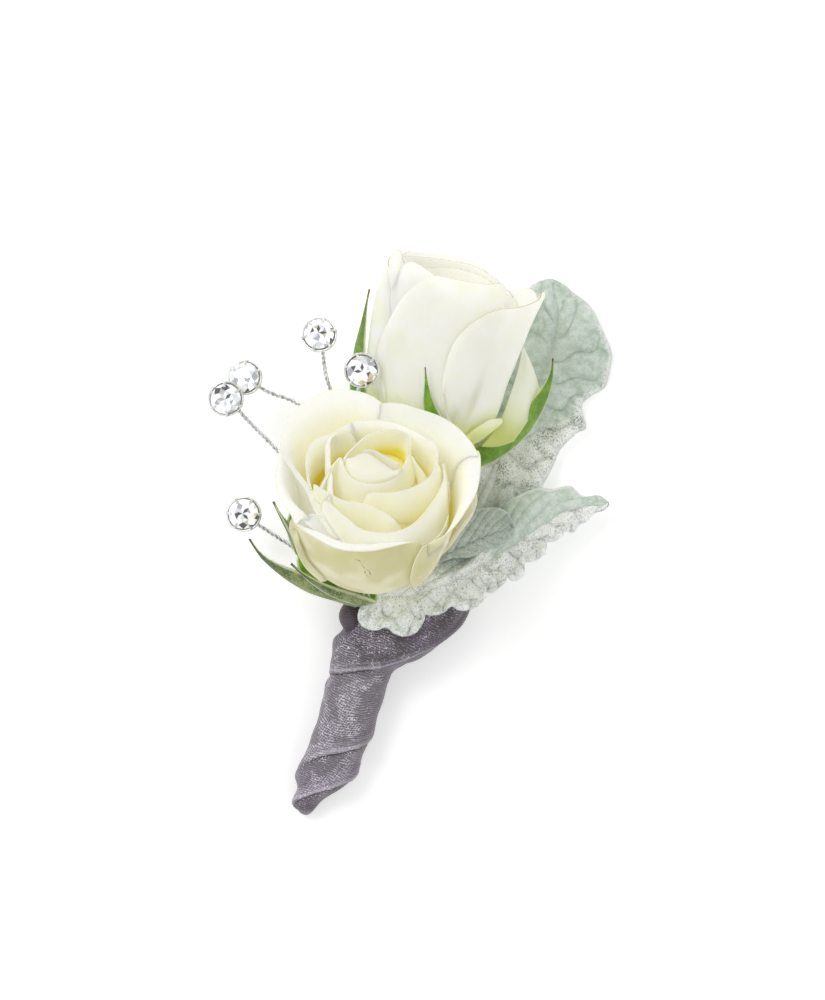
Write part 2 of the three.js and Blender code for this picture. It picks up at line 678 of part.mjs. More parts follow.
// Lower leaf, its frilled lobes lying over the top of the handle
const lowerRib = [
  [-5.3, -12.8, 14.2], [-1, -12.6, 14.4], [3.7, -11.2, 14.4], [9, -9.2, 13.6], [14.3, -6.2, 12.2],
  [20, -2.6, 10.6], [26, 1.6, 8.8], [32, 5, 7.4], [39.7, 6, 6],
];
const lowerRight = [
  [-7.6, -13.6, 14], [-10.7, -16.6, 13.9], [-9.7, -18.6, 13.8], [-7.1, -19.2, 14], [-5.3, -18.8, 14.3],
  [-3.5, -19.9, 13.9], [-0.3, -20.2, 13.8], [1.9, -18.2, 14], [2.1, -16.6, 14.6], [4.3, -16, 14.6],
  [7.5, -14.6, 14.4], [11.3, -15.2, 13.6], [13.1, -14.2, 13], [14.3, -12.6, 12.6], [15.1, -11.8, 12.4],
  [18.7, -9.8, 10.8], [20.1, -9.2, 10.2], [22.1, -8.6, 9.6], [22.1, -6.2, 9.8], [25.3, -4.8, 8],
  [26.7, -3.6, 7.6], [26.7, -1.6, 8.2], [30.1, -0.6, 6.4], [32.5, 0.4, 6], [33.7, 1.8, 6.4],
  [36.7, 4.4, 6], [39.7, 6, 6],
];
const lowerLeft = [
  [-6.5, -11, 14], [-3, -9, 13.6], [1.7, -7.2, 12.8], [8.1, -4.4, 10.4], [13.7, -3.6, 9],
  [18.3, -2.4, 8.4], [19.7, 1, 7.8], [20.3, 4.6, 7.6], [22.9, 7.4, 7.4], [25.5, 8.4, 7.2], [28.7, 8.2, 7.4],
  [31.1, 9.2, 7], [34.7, 6.8, 7.2], [37.7, 7.6, 6.6], [39.7, 6, 6],
];
const lowerWave = (x, y) => 0.5 * Math.sin(0.7 * x - 0.5 * y);
const lowerStalk = [
  [4, -10.8, 14.2], [-1, -11.4, 13.8], [-4.2, -11.6, 12.5], [-5.6, -14.6, 10.3], [-6.6, -21, 9],
  [-8.2, -29, 8.6], [-10.6, -37, 8.3],
];
const lowerLeaf = fused([
  blade(leafSurface(lowerRib, lowerLeft, lowerRight, lowerWave), LEAF, 4, 38),
  stem(lowerStalk, STALK_R, 12, 6),
]);
addPiece('leaf_lower', geometryOf(lowerLeaf), '#aebcae', 0.9);

// Rhinestones: where each sits, the way it faces, and the route of its wire down to the handle
const stones = [
  {
    at: [-18.5, 40, 20], facing: [-0.1, 0.25, 1],
    wire: [
      [-17.2, 32, 15.6], [-15.7, 26.6, 13.6], [-14.3, 16, 10.6], [-13.4, 4, 7.6], [-12.4, -8, 6.4],
      [-12, -14, 6], [-12.6, -21, 5.2], [-14.2, -29.5, 4.6],
    ],
  },
  {
    at: [-33.5, 31.4, 17.5], facing: [-0.25, 0.1, 1],
    wire: [
      [-29, 28.6, 14.4], [-21.5, 25, 12.6], [-17, 15, 10], [-14.8, 3.4, 8.4], [-13.2, -8, 7.8],
      [-12, -14, 7.4], [-12.6, -21, 6.6], [-14.2, -29.5, 6],
    ],
  },
  {
    at: [-37.1, 27, 22], facing: [-0.1, -0.1, 1],
    wire: [
      [-33.4, 23.4, 17.6], [-25.9, 15.6, 14.4], [-19.4, 7, 11.4], [-15.6, -2.4, 9.4],
      [-12.4, -9.6, 8.8], [-10.5, -14, 8.3], [-11.2, -21, 7.8], [-12.8, -29.5, 7.8],
    ],
  },
  {
    at: [-9.9, 32.6, 24], facing: [0.05, -0.15, 1],
    wire: [
      [-10.6, 28.8, 18.8], [-10.4, 25, 16.6], [-11.4, 16, 11.6], [-12.2, 5, 6.2], [-12, -6, 4.8],
      [-12, -14, 4.6], [-12.8, -21, 3.8], [-14.2, -29.5, 3.2],
    ],
  },
  {
    at: [-33.7, 4, 15], facing: [-0.15, 0.05, 1],
    wire: [
      [-30.4, 1.6, 11.6], [-24.3, -2.4, 10.8], [-19, -6.4, 9.6], [-14.8, -10.6, 9], [-12, -14, 8.8],
      [-12.6, -21, 8], [-14.2, -29.5, 7.4],
    ],
  },
];

// A round brilliant: eight-sided table, crown, girdle band and pavilion down to a point
function brilliant() {
  const ring = (radius, height, count, turn) =>
    Array.from({ length: count }, (_, i) => {
      const angle = ((i + turn) * 2 * Math.PI) / count;
      return [radius * Math.cos(angle), radius * Math.sin(angle), height];
    });
  const rings = [
    [[0, 0, 0.32 * STONE_R]],
    ring(0.56 * STONE_R, 0.32 * STONE_R, 8, 0),
    ring(0.8 * STONE_R, 0.19 * STONE_R, 8, 0.5),
    ring(STONE_R, 0.03 * STONE_R, 16, 0),
    ring(STONE_R, -0.03 * STONE_R, 16, 0),
    ring(0.25 * STONE_R, -0.66 * STONE_R, 8, 0.5),
    [[0, 0, -0.86 * STONE_R]],
  ];
  const start = [0];
  for (const loop of rings) start.push(start[start.length - 1] + loop.length);
  const index = [];
  for (let i = 0; i < 8; i++) {
    const j = (i + 1) % 8;
    const before = (i + 7) % 8;
    index.push(start[0], start[1] + i, start[1] + j);
    index.push(start[1] + i, start[2] + i, start[1] + j);
    index.push(start[1] + i, start[3] + 2 * i, start[2] + i);
    index.push(start[1] + i, start[2] + before, start[3] + 2 * i);
    index.push(start[2] + i, start[3] + 2 * i, start[3] + 2 * i + 1);
    index.push(start[2] + i, start[3] + 2 * i + 1, start[3] + ((2 * i + 2) % 16));
    index.push(start[4] + 2 * i, start[5] + before, start[5] + i);
    index.push(start[4] + 2 * i, start[5] + i, start[4] + 2 * i + 1);
    index.push(start[4] + 2 * i + 1, start[5] + i, start[4] + ((2 * i + 2) % 16));
    index.push(start[5] + i, start[6], start[5] + j);
  }
  for (let i = 0; i < 16; i++) {
    const j = (i + 1) % 16;
    index.push(start[3] + i, start[4] + i, start[4] + j, start[3] + i, start[4] + j, start[3] + j);
  }
  return geometryFrom(rings.flat(2), index);
}

// A cup that follows the stone's pavilion, with six claws bent in over its girdle and a short post
const POST_R = 0.6;
const POST_FOOT = -1.34 * STONE_R;
function clawCup() {
  const inner = STONE_R + GAP;
  const profile = [
    [0, POST_FOOT], [POST_R, POST_FOOT], [POST_R, -1.1 * STONE_R],
    [0.4 * inner + CUP_WALL, -0.86 * STONE_R], [inner + CUP_WALL, -0.3 * STONE_R],
    [inner + CUP_WALL, -0.06 * STONE_R], [inner, -0.06 * STONE_R], [inner, -0.24 * STONE_R],
    [0.3 * inner, -0.78 * STONE_R], [0, -1.02 * STONE_R],
  ].map(([radius, height]) => new THREE.Vector2(radius, height));
  const claws = [];
  for (let i = 0; i < 6; i++) {
    const claw = new THREE.BoxGeometry(CUP_WALL, 0.7, 0.44 * STONE_R);
    claw.rotateY(-0.5).translate(inner + 0.02, 0, 0.1 * STONE_R);
    claws.push(claw.rotateZ((i * Math.PI) / 3));
  }
  return geometryOf(fused([new THREE.LatheGeometry(profile, 10).rotateX(Math.PI / 2), ...claws]));
}

stones.forEach(({ at, facing, wire }, k) => {
  const up = new THREE.Vector3(...facing).normalize();
  const right = new THREE.Vector3(1, 0, 0).addScaledVector(up, -up.x).normalize();
  const place = new THREE.Matrix4().makeBasis(right, up.clone().cross(right), up).setPosition(...at);
  addPiece(`stone_${k + 1}`, brilliant().applyMatrix4(place), '#f4f7fa', 0.05);
  addPiece(`cup_${k + 1}`, clawCup().applyMatrix4(place), '#c9ccd0', 0.25, 1);
  const post = new THREE.Vector3(0, 0, POST_FOOT - GAP).applyMatrix4(place);
  const bend = new THREE.Vector3(0, 0, POST_FOOT - 1.4).applyMatrix4(place);
  const route = [post.toArray(), bend.toArray(), ...wire];
  const length = new THREE.CatmullRomCurve3(route.map((p) => new THREE.Vector3(...p))).getLength();
  const rings = Math.round((length / WIRE_PITCH) * 3);
  addPiece(`wire_${k + 1}`, swept(route, () => WIRE_R, rings, 3, 1 / 3), '#b9bcc0', 0.3, 1);
});

// Ribbon round the handle, from the mouth down to the folded tip. Each station holds the left and
// right edge, X and Y, and the height of the wrap there.
const stations = [
  [-14.2, -14.6, 11.3, -14.8, 13], [-14.9, -19.8, 8.1, -20.4, 12.9], [-16.1, -24.4, 1.7, -25.2, 12.4],
  [-16.7, -28.4, -4.1, -28.4, 11.6], [-18.3, -33.6, -5.5, -33.6, 11.2], [-20.1, -40.2, -8.1, -40.6, 10.8],
  [-22.3, -46.8, -10.7, -46.8, 9.6], [-23.5, -51.6, -14.7, -51.6, 7.4], [-22.9, -56.2, -19.1, -56, 3.4],
];

// The wrap's section, drawn in by inset: rounded above, with a flat under side that lies on the table
const WIDEST_AT = 0.46; // part of the height where the section is widest
const FULLNESS = 0.8; // 1 for an ellipse, less for a fuller section
function wrapLoop(t, inset, sides) {
  const [lx, ly, rx, ry, height] = along(stations, t);
  const left = new THREE.Vector3(lx, ly, 0);
  const right = new THREE.Vector3(rx, ry, 0);
  const half = left.distanceTo(right) / 2 - inset;
  const side = right.clone().sub(left).normalize();
  const middle = left.add(right).multiplyScalar(0.5);
  const loop = [];
  for (let i = 0; i < sides; i++) {
    const angle = (2 * Math.PI * i) / sides;
    const wide = Math.sign(Math.cos(angle)) * Math.abs(Math.cos(angle)) ** FULLNESS;
    const tall = Math.sign(Math.sin(angle)) * Math.abs(Math.sin(angle)) ** FULLNESS;
    const z = Math.max(inset, WIDEST_AT * height + ((1 - WIDEST_AT) * height - inset) * tall);
    loop.push(middle.clone().addScaledVector(side, half * wide).setZ(z));
  }
  return loop;
}

function wrapBody(from, to, inset, rings, sides = 16) {
  const loops = [];
  for (let j = 0; j <= rings; j++) loops.push(wrapLoop(from + ((to - from) * j) / rings, inset, sides));
  return loft(loops);
}

const hollow = wrapBody(0, 0.93, RIBBON, 11);
const mouthCut = loft([2, -0.2].map((shift) => wrapLoop(0, RIBBON, 16).map((p) => p.setY(p.y + shift))));
const ribbon = solidOf(wrapBody(0, 1, 0, 12)).subtract(solidOf(hollow)).subtract(solidOf(mouthCut));
addPiece('ribbon_wrap', geometryOf(cleaned(ribbon)), '#8d8490', 0.45);

// Taped core of the handle, with a plain hole for everything that stands in it
const TAPE_ROOM = GAP + 0.3; // between the flat-sided core and the ribbon

function lengthened(route) {
  const [end, before] = [route.at(-1), route.at(-2)].map((p) => new THREE.Vector3(...p));
  const past = end.clone().addScaledVector(end.clone().sub(before).normalize(), GAP);
  return [...route.slice(0, -1), past.toArray()];
}

// An upright slot: rows hold Y, its left and right X, and its lower and upper Z
function slot(rows) {
  return loft(
    rows.map(([y, left, right, low, high]) =>
      [[left, low], [right, low], [right, high], [left, high]].map(([x, z]) => new THREE.Vector3(x, y, z)),
    ),
  );
}

const holes = [
  ...[frontStem, rearStem].map((route) => stem(lengthened(route), STEM_R + GAP, 10)),
  ...[upperStalk, lowerStalk].map((route) => stem(lengthened(route), STALK_R + GAP, 12, 6)),
  slot([[-12, -12.8, -11.2, 3, 10], [-21, -13.6, -11.9, 2.6, 9.4], [-30.4, -15.1, -13.5, 2.3, 8.3]]),
  slot([[-12, -11.8, -9.8, 7.4, 9.2], [-21, -12.2, -10.4, 6.9, 8.7], [-30.4, -14.2, -12.1, 6.9, 8.7]]),
];
const core = holes.reduce(
  (solid, hole) => solid.subtract(solidOf(hole)),
  solidOf(wrapBody(0.14, 0.86, RIBBON + TAPE_ROOM, 9, 14)),
);
addPiece('floral_tape', geometryOf(cleaned(core)), '#5c7040', 0.8);

export default boutonniere;
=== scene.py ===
# Lapel boutonniere lying on a pale table: two cream spray roses, two felted grey leaves and five
# rhinestones on twisted wires, in a handle wound with ribbon. All sizes below are in millimetres, in
# the frame of the solids: X to the right, Y along the handle to the blooms, Z up from the table.
import math

import bpy
import numpy as np
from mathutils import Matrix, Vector


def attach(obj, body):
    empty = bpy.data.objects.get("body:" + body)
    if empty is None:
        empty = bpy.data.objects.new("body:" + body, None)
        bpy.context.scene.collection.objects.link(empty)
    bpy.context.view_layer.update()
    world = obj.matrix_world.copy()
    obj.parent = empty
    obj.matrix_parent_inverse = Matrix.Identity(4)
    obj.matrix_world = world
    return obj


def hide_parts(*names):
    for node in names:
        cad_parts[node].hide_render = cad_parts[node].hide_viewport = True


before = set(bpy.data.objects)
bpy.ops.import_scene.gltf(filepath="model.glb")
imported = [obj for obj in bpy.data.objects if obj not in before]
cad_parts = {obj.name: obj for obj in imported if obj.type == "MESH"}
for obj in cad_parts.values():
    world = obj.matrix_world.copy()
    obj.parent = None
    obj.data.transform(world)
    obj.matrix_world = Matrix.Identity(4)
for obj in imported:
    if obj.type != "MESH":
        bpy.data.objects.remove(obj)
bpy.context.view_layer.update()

# The camera looks straight down, as the photograph was taken: one of its 1000 pixels upright is
# 0.2 mm at the height of the blooms' middle.
CAMERA_AT = (0.2, 6.8)
VIEWED_HEIGHT = 20.0
CAMERA_AWAY = 1800.0
PIXEL = 0.2


def put_in_scene(name, data, place=(0, 0, 0)):
    """Adds an object to the scene; its place is in metres."""
    thing = bpy.data.objects.new(name, data)
    thing.location = place
    bpy.context.scene.collection.objects.link(thing)
    return thing


camera_data = bpy.data.cameras.new("camera")
camera_data.sensor_fit = "VERTICAL"
camera_data.sensor_height = 24.0
camera_data.lens = CAMERA_AWAY * camera_data.sensor_height / (1000 * PIXEL)
camera_data.clip_start = 0.05
camera_place = (CAMERA_AT[0] / 1000, CAMERA_AT[1] / 1000, (VIEWED_HEIGHT + CAMERA_AWAY) / 1000)
bpy.context.scene.camera = put_in_scene("camera", camera_data, camera_place)

# Front rose: an open cream spray rose. Its petals grow from one base in spirals, cupped round each
# other; the outer ones are rolled out at the rim and shade to beige below, the clefts glow yellow.
PETAL_BODY = 0.5
PETAL_RIM = 0.22
ROOT_R = 0.4
# Share of a petal's width that it has at its root
ROOT_SPREAD = 0.12
# Shares of a petal's height where it follows the bowl
ON_BOWL = (0.2, 0.5)
# A petal as low as the first height keeps to the bowl, one as high as the second leans out fully
LEANS_OUT = (8, 28)
# A lip starts at this share of the petal's length, and drops by this share of what it stands out
LIP_FROM = 0.88
LIP_DROP = 0.5
# How far below its rim a petal turns fully yellow, and between which heights its foot pales again
YELLOW_BELOW = 14
YELLOW_FOOT = (2, 9)


def row_curve(rows, t):
    """A smooth curve through rows of numbers, read at each t from 0 to 1."""
    rows = np.asarray(rows, float)
    last = len(rows) - 1
    t = np.clip(np.asarray(t, float), 0, 1) * last
    i = np.minimum(t.astype(int), last - 1)
    f = (t - i)[:, None]
    row = lambda k: rows[np.clip(k, 0, last)]
    value, after_value = row(i), row(i + 1)
    slope = (after_value - row(i - 1)) / 2
    next_slope = (row(i + 2) - value) / 2
    rise = after_value - value
    return value + f * (slope + f * (3 * rise - 2 * slope - next_slope + f * (slope + next_slope - 2 * rise)))


def smooth(start, end, value):
    """0 before start, 1 past end and a soft step between them."""
    t = np.clip((value - start) / (end - start), 0, 1)
    return t * t * (3 - 2 * t)


def unit(vectors):
    """The same directions, each with a length of 1."""
    vectors = np.asarray(vectors, float)
    return vectors / np.maximum(np.linalg.norm(vectors, axis=-1, keepdims=True), 1e-9)


def lengths(path):
    """How far along a path, or down each column of a grid, its points are."""
    steps = np.linalg.norm(np.diff(path, axis=0), axis=-1)
    return np.concatenate([0 * steps[:1], np.cumsum(steps, axis=0)])


def round_steps(count):
    """Angles at even steps round a circle."""
    return np.linspace(0, 2 * math.pi, count, endpoint=False)


class Bloom:
    """A bloom on its own axis: a place in it is an angle round the axis, a radius and a height.

    The bowl is its outline as rows of height and radius, smoothed; foot is where it turns green.
    """

    def __init__(self, calyx, axis, bowl, foot):
        self.origin = np.array(calyx, float)
        self.foot = foot
        self.up = unit(axis)
        self.right = unit(np.array([1, 0, 0]) - self.up[0] * self.up)
        self.back = np.cross(self.up, self.right)
        self.heights = np.linspace(0, bowl[-1][0], 200)
        padded = np.pad(np.interp(self.heights, *np.transpose(bowl)), 8, mode="reflect", reflect_type="odd")
        self.radii = np.convolve(padded, np.ones(17) / 17, "valid")

    def bowl_radius(self, height):
        return np.interp(height, self.heights, self.radii)

    def place(self, angle, radius, height):
        steps = np.broadcast_arrays(radius * np.cos(angle), radius * np.sin(angle), height)
        return self.origin + np.stack(steps, -1) @ np.stack([self.right, self.back, self.up])

    def seen_at(self, x, y, height):
        """The place that shows at x, y from straight above, at a height above the calyx."""
        from_axis = np.subtract([x, y], (self.origin + height * self.up)[:2])
        a, b = np.linalg.solve(np.stack([self.right[:2], self.back[:2]], 1), from_axis)
        return [math.atan2(b, a), math.hypot(a, b), height]

    def near_side(self, x, y, radius):
        """The place on the side towards the eye that shows at x, y from straight above."""
        height = (y - self.origin[1]) / self.up[1]
        for _ in range(30):
            across = (x - self.origin[0] - height * self.up[0]) / (radius * self.right[0])
            across = np.clip(across, -0.999, 0.999)
            towards = -math.sqrt(1 - across**2)
            in_plane = radius * (across * self.right[1] + towards * self.back[1])
            height = (y - self.origin[1] - in_plane) / self.up[1]
        return [math.atan2(towards, across), radius, height]

    def places(self, rows, seen):
        """Angle, radius and height of rows given as seen from above, or with the angle in degrees."""
        return [self.seen_at(*row) if seen else [math.radians(row[0]), *row[1:]] for row in rows]

    def outline(self, petal):
        places = [self.near_side(*row) for row in petal.get("near", [])]
        places += self.places(petal.get("outline", []), petal.get("seen"))
        angles = np.unwrap([place[0] for place in places])
        return [[angle, *place[1:]] for angle, place in zip(angles, places)]


def blade(grid, thickness):
    """A closed sheet round a grid of points, as points, faces and which side each point is on."""
    normals = unit(np.cross(np.gradient(grid, axis=1), np.gradient(grid, axis=0)))
    half = np.broadcast_to(np.asarray(thickness, float), grid.shape[:2])[..., None] / 2
    place = np.arange(grid[..., 0].size).reshape(grid.shape[:2])
    corners = [place[:-1, :-1], place[:-1, 1:], place[1:, 1:], place[1:, :-1]]
    upper = np.stack([c.ravel() for c in corners], 1)
    rim = np.concatenate([place[0, :-1], place[:-1, -1], place[-1, :0:-1], place[:0:-1, 0]])
    after = np.roll(rim, -1)
    edge_faces = np.stack([rim, rim + place.size, after + place.size, after], 1)
    faces = np.concatenate([upper, upper[:, ::-1] + place.size, edge_faces])
    vertices = [(grid + normals * half).reshape(-1, 3), (grid - normals * half).reshape(-1, 3)]
    return np.concatenate(vertices), faces, np.repeat([1.0, 0.0], place.size)


def both_sides(value, grid):
    """A value of each point of a grid, for the two sides of the blade that is made round it."""
    return np.tile(np.broadcast_to(value, grid.shape[:2]).ravel(), 2)


def round_body(points):
    """A closed body from rows of points round it, as points, faces and its two end faces."""
    rows, sides = points.shape[:2]
    place = np.arange(rows * sides).reshape(rows, sides)
    after = np.roll(place, -1, 1)
    faces = np.stack([place[:-1], after[:-1], after[1:], place[1:]], -1).reshape(-1, 4)
    return points.reshape(-1, 3), faces, [place[0, ::-1], place[-1]]


class Heap:
    """Points and faces that gather into one mesh, with values that its finish reads at each point."""

    def __init__(self):
        self.vertices, self.faces, self.values, self.count = [], [], [], 0

    def add(self, vertices, faces, ends=(), **values):
        """Adds a body. A value of the finish that isn't given is 0 on it."""
        self.vertices.append(np.asarray(vertices, float))
        self.faces.extend((np.asarray(faces) + self.count).tolist())
        self.faces.extend((end + self.count).tolist() for end in ends)
        self.values.append(values)
        self.count += len(vertices)

    def piece(self, name, finish, slot, node, shaded_smooth=True):
        mesh = bpy.data.meshes.new(name)
        mesh.from_pydata((np.concatenate(self.vertices) / 1000).tolist(), [], self.faces)
        for label in dict.fromkeys(label for values in self.values for label in values):
            parts = [np.broadcast_to(v.get(label, 0), len(p)) for v, p in zip(self.values, self.vertices)]
            layer = mesh.attributes.new(label, "FLOAT", "POINT")
            layer.data.foreach_set("value", np.concatenate(parts).astype(np.float32))
        mesh.polygons.foreach_set("use_smooth", [shaded_smooth] * len(mesh.polygons))
        mesh.materials.append(finish)
        mesh.validate()
        piece = put_in_scene(name, mesh)
        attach(piece, "root")
        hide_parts(node)


class Value:
    """One value in a finish: sums and products of these add the nodes that work them out."""

    def __init__(self, finish, socket):
        self.finish, self.socket = finish, socket

    def maths(self, operation, *others):
        return self.finish.node("Math", {"operation": operation}, dict(enumerate((self, *others))))

    def __add__(self, other):
        return self.maths("ADD", other)

    def __sub__(self, other):
        return self.maths("SUBTRACT", other)

    def __mul__(self, other):
        return self.maths("MULTIPLY", other)

    def __rsub__(self, other):
        return self.finish.node("Math", {"operation": "SUBTRACT"}, {0: other, 1: self})

    __radd__ = __add__
    __rmul__ = __mul__

    def held(self, start, end):
        """0 below start, 1 above end and a soft step between them."""
        settings = {"interpolation_type": "SMOOTHSTEP"}
        return self.finish.node("MapRange", settings, {0: self, 1: start, 2: end})


class Finish:
    """A material that is put together from nodes round one Principled shader."""

    def __init__(self, name, **fixed):
        self.material = bpy.data.materials.new(name)
        self.material.use_nodes = True
        self.tree = self.material.node_tree
        self.shader = self.tree.nodes["Principled BSDF"]
        for socket, value in fixed.items():
            self.shader.inputs[socket.replace("_", " ")].default_value = value

    def put(self, socket, value):
        if isinstance(value, Value):
            self.tree.links.new(value.socket, socket)
        elif isinstance(value, tuple) and socket.type == "RGBA":
            socket.default_value = (*value, 1)
        else:
            socket.default_value = value

    def node(self, kind, settings, sockets, output=0):
        """Any node: its settings, with a ramp's stops among them, then its sockets' values or links."""
        node = self.tree.nodes.new("ShaderNode" + kind)
        for name, value in settings.items():
            if name == "flat_stops":
                node.color_ramp.interpolation = "CONSTANT"
                for i, (position, tone) in enumerate(value):
                    stops = node.color_ramp.elements
                    stop = stops[i] if i < len(stops) else stops.new(position)
                    stop.position, stop.color = position, (*tone, 1)
            else:
                setattr(node, name, value)
        for name, value in sockets.items():
            self.put(node.inputs[name], value)
        return Value(self, node.outputs[output])

    def read(self, name):
        """A value that the mesh holds at each point."""
        return self.node("Attribute", {"attribute_name": name}, {}, "Fac")

    def place(self):
        return self.node("TexCoord", {}, {}, "Object")

    def noise(self, size, detail=2, stretch=(1, 1, 1), roughness=0.5):
        """Mottling whose patches are about size millimetres across."""
        scale = tuple(1000 / size * s for s in stretch)
        scaled = self.node("VectorMath", {"operation": "MULTIPLY"}, {0: self.place(), 1: scale})
        sockets = {"Vector": scaled, "Scale": 1, "Detail": detail, "Roughness": roughness}
        return self.node("TexNoise", {}, sockets)

    def streaks(self, x, y, scale, detail):
        """Mottling over two values of the mesh."""
        sockets = {"Vector": self.node("CombineXYZ", {}, {0: x, 1: y}), "Scale": scale, "Detail": detail}
        return self.node("TexNoise", {"noise_dimensions": "2D"}, sockets)

    def coats(self, tone, *coats):
        """A colour under coats, each given as how much of it covers what lies below, and its colour."""
        for cover, coat in coats:
            tone = self.node("Mix", {"data_type": "RGBA"}, {0: cover, 6: tone, 7: coat}, 2)
        return tone

    def relief(self, height, depth):
        """Fine relief of the surface, depth in millimetres."""
        return self.node("Bump", {}, {"Strength": 1, "Distance": depth / 1000, "Height": height})

    def done(self, **varying):
        for socket, value in varying.items():
            self.put(self.shader.inputs[socket.replace("_", " ")], value)
        return self.material


def colour(red, green, blue):
    """A colour as mixed on screen, from 0 to 255, in the shader's own linear numbers."""
    return tuple(((c / 255 + 0.055) / 1.055) ** 2.4 if c > 10 else c / 255 / 12.92 for c in (red, green, blue))


def curved_sheet(bloom, petal, u, v):
    """A petal through curves from its root to its rim."""
    rows = [bloom.place(*np.transpose(bloom.places(rows, petal.get("seen")))) for rows in petal["curves"]]
    curves = [row_curve(row, (u + 1) / 2) for row in rows]
    return row_curve(np.reshape(curves, (len(curves), -1)), v).reshape(len(v), len(u), 3)


def cupped_sheet(bloom, petal, u, v, random):
    """A petal that rises from its root along the bowl to its shoulder, then leans or rolls to its rim."""

    def from_left(value):
        """One value, or several that are spread evenly from the left end to the right."""
        return np.interp(u, np.linspace(-1, 1, len(value)), value) if np.ndim(value) else value

    angle, radius, height = row_curve(bloom.outline(petal), (u + 1) / 2).T
    middle = (angle.min() + angle.max()) / 2
    turned = middle + (angle - middle) * np.sin(np.minimum(1, ROOT_SPREAD + v[:, None]) * math.pi / 2)
    out, down = (from_left(value) for value in petal.get("shoulder", (0, 4)))
    reach = smooth(*LEANS_OUT, height)
    layer, heights = from_left(petal["layer"]), [share * height for share in ON_BOWL]
    knots = [
        (ROOT_R + 0 * u, 1 + 0 * u), *((layer * bloom.bowl_radius(h), h) for h in heights),
        (radius + out * reach, height - down * (0.4 + 0.6 * reach)), (radius, height),
    ]
    profile = row_curve(np.reshape(knots, (len(knots), -1)), v).reshape(len(v), 2, len(u))
    curl = petal.get("lip", 0) * smooth(LIP_FROM, 1, v)[:, None] * (1 - u * u) ** 1.5
    along = u + 0.4 * v[:, None]
    waves = sum(random.uniform(0.4, 1) * np.sin(k * along + random.uniform(0, 6.3)) / k for k in (3, 5.5, 9))
    ripple = petal.get("ripple", 0.25) * waves * smooth(0.3, 1, v)[:, None]
    radius, height = profile[:, 0] + curl + ripple, profile[:, 1] - LIP_DROP * curl
    return bloom.place(turned, np.maximum(ROOT_R, radius), height)


def add_petal(heap, bloom, petal, number, across=46, up=34):
    """Adds a petal as a blade with a thin rim, and the values that colour its faces, clefts and foot.

    On its grid u runs from the left to the right end, and v from the root to the rim, closer there.
    """
    u = np.linspace(-1, 1, across + 1)
    v = 1 - (1 - np.linspace(0, 1, up + 1)) ** 1.4
    if "curves" in petal:
        sheet = curved_sheet(bloom, petal, u, v)
    else:
        sheet = cupped_sheet(bloom, petal, u, v, np.random.default_rng(number))
    edge = np.minimum(1 - v[:, None] + 0 * u, (1 - np.abs(u)) * 2.5)
    vertices, faces, side = blade(sheet, PETAL_RIM + (PETAL_BODY - PETAL_RIM) * smooth(0, 0.25, edge))
    above = (sheet - bloom.origin) @ bloom.up
    from_axis = sheet - bloom.origin - above[..., None] * bloom.up
    facing_out = np.cross(np.gradient(sheet, axis=1), np.gradient(sheet, axis=0)) * from_axis
    outer = side if facing_out.sum() > 0 else 1 - side
    down = lengths(sheet[::-1])[::-1]
    above_foot = smooth(*bloom.foot, above)
    outermost = np.min(petal.get("layer", 0)) > 0.8
    yellow = above_foot if outermost else smooth(*YELLOW_FOOT, above)
    yellow = yellow * down / petal.get("yellow", YELLOW_BELOW)
    heap.add(
        vertices, faces, down=both_sides(down / 10, sheet), across=both_sides(u * 10 + number, sheet),
        cleft=petal.get("warm", 0) + (1 - outer * outermost) * both_sides(yellow, sheet),
        outside=petal.get("outside", 0) * outer, green=petal.get("green", 0),
        foot=outer * both_sides(1 - above_foot, sheet), rim=both_sides(edge < 0.004, sheet),
    )


def turned_body(bloom, profile, sides=40):
    """A body turned round the bloom's axis from rows of radius and height."""
    profile = row_curve(profile, np.linspace(0, 1, 6 * len(profile)))
    return round_body(bloom.place(round_steps(sides)[None], np.maximum(profile[:, :1], 0.01), profile[:, 1:]))


front = Bloom(
    [-8.7, -6, 12.5],
    [0.06, 0.572, 0.818],
    [[0, 3.2], [2, 6.5], [5, 10], [8, 12.4], [12, 15.1], [16, 17], [20, 18.2], [26, 19], [36, 20]],
    foot=(3, 15),
)
front_core = [
    [0, 0], [3.2, 0], [6.5, 2.5], [9, 6], [10.5, 11], [11.5, 17], [11.5, 22], [9.5, 26], [6, 28.5], [0, 30],
]
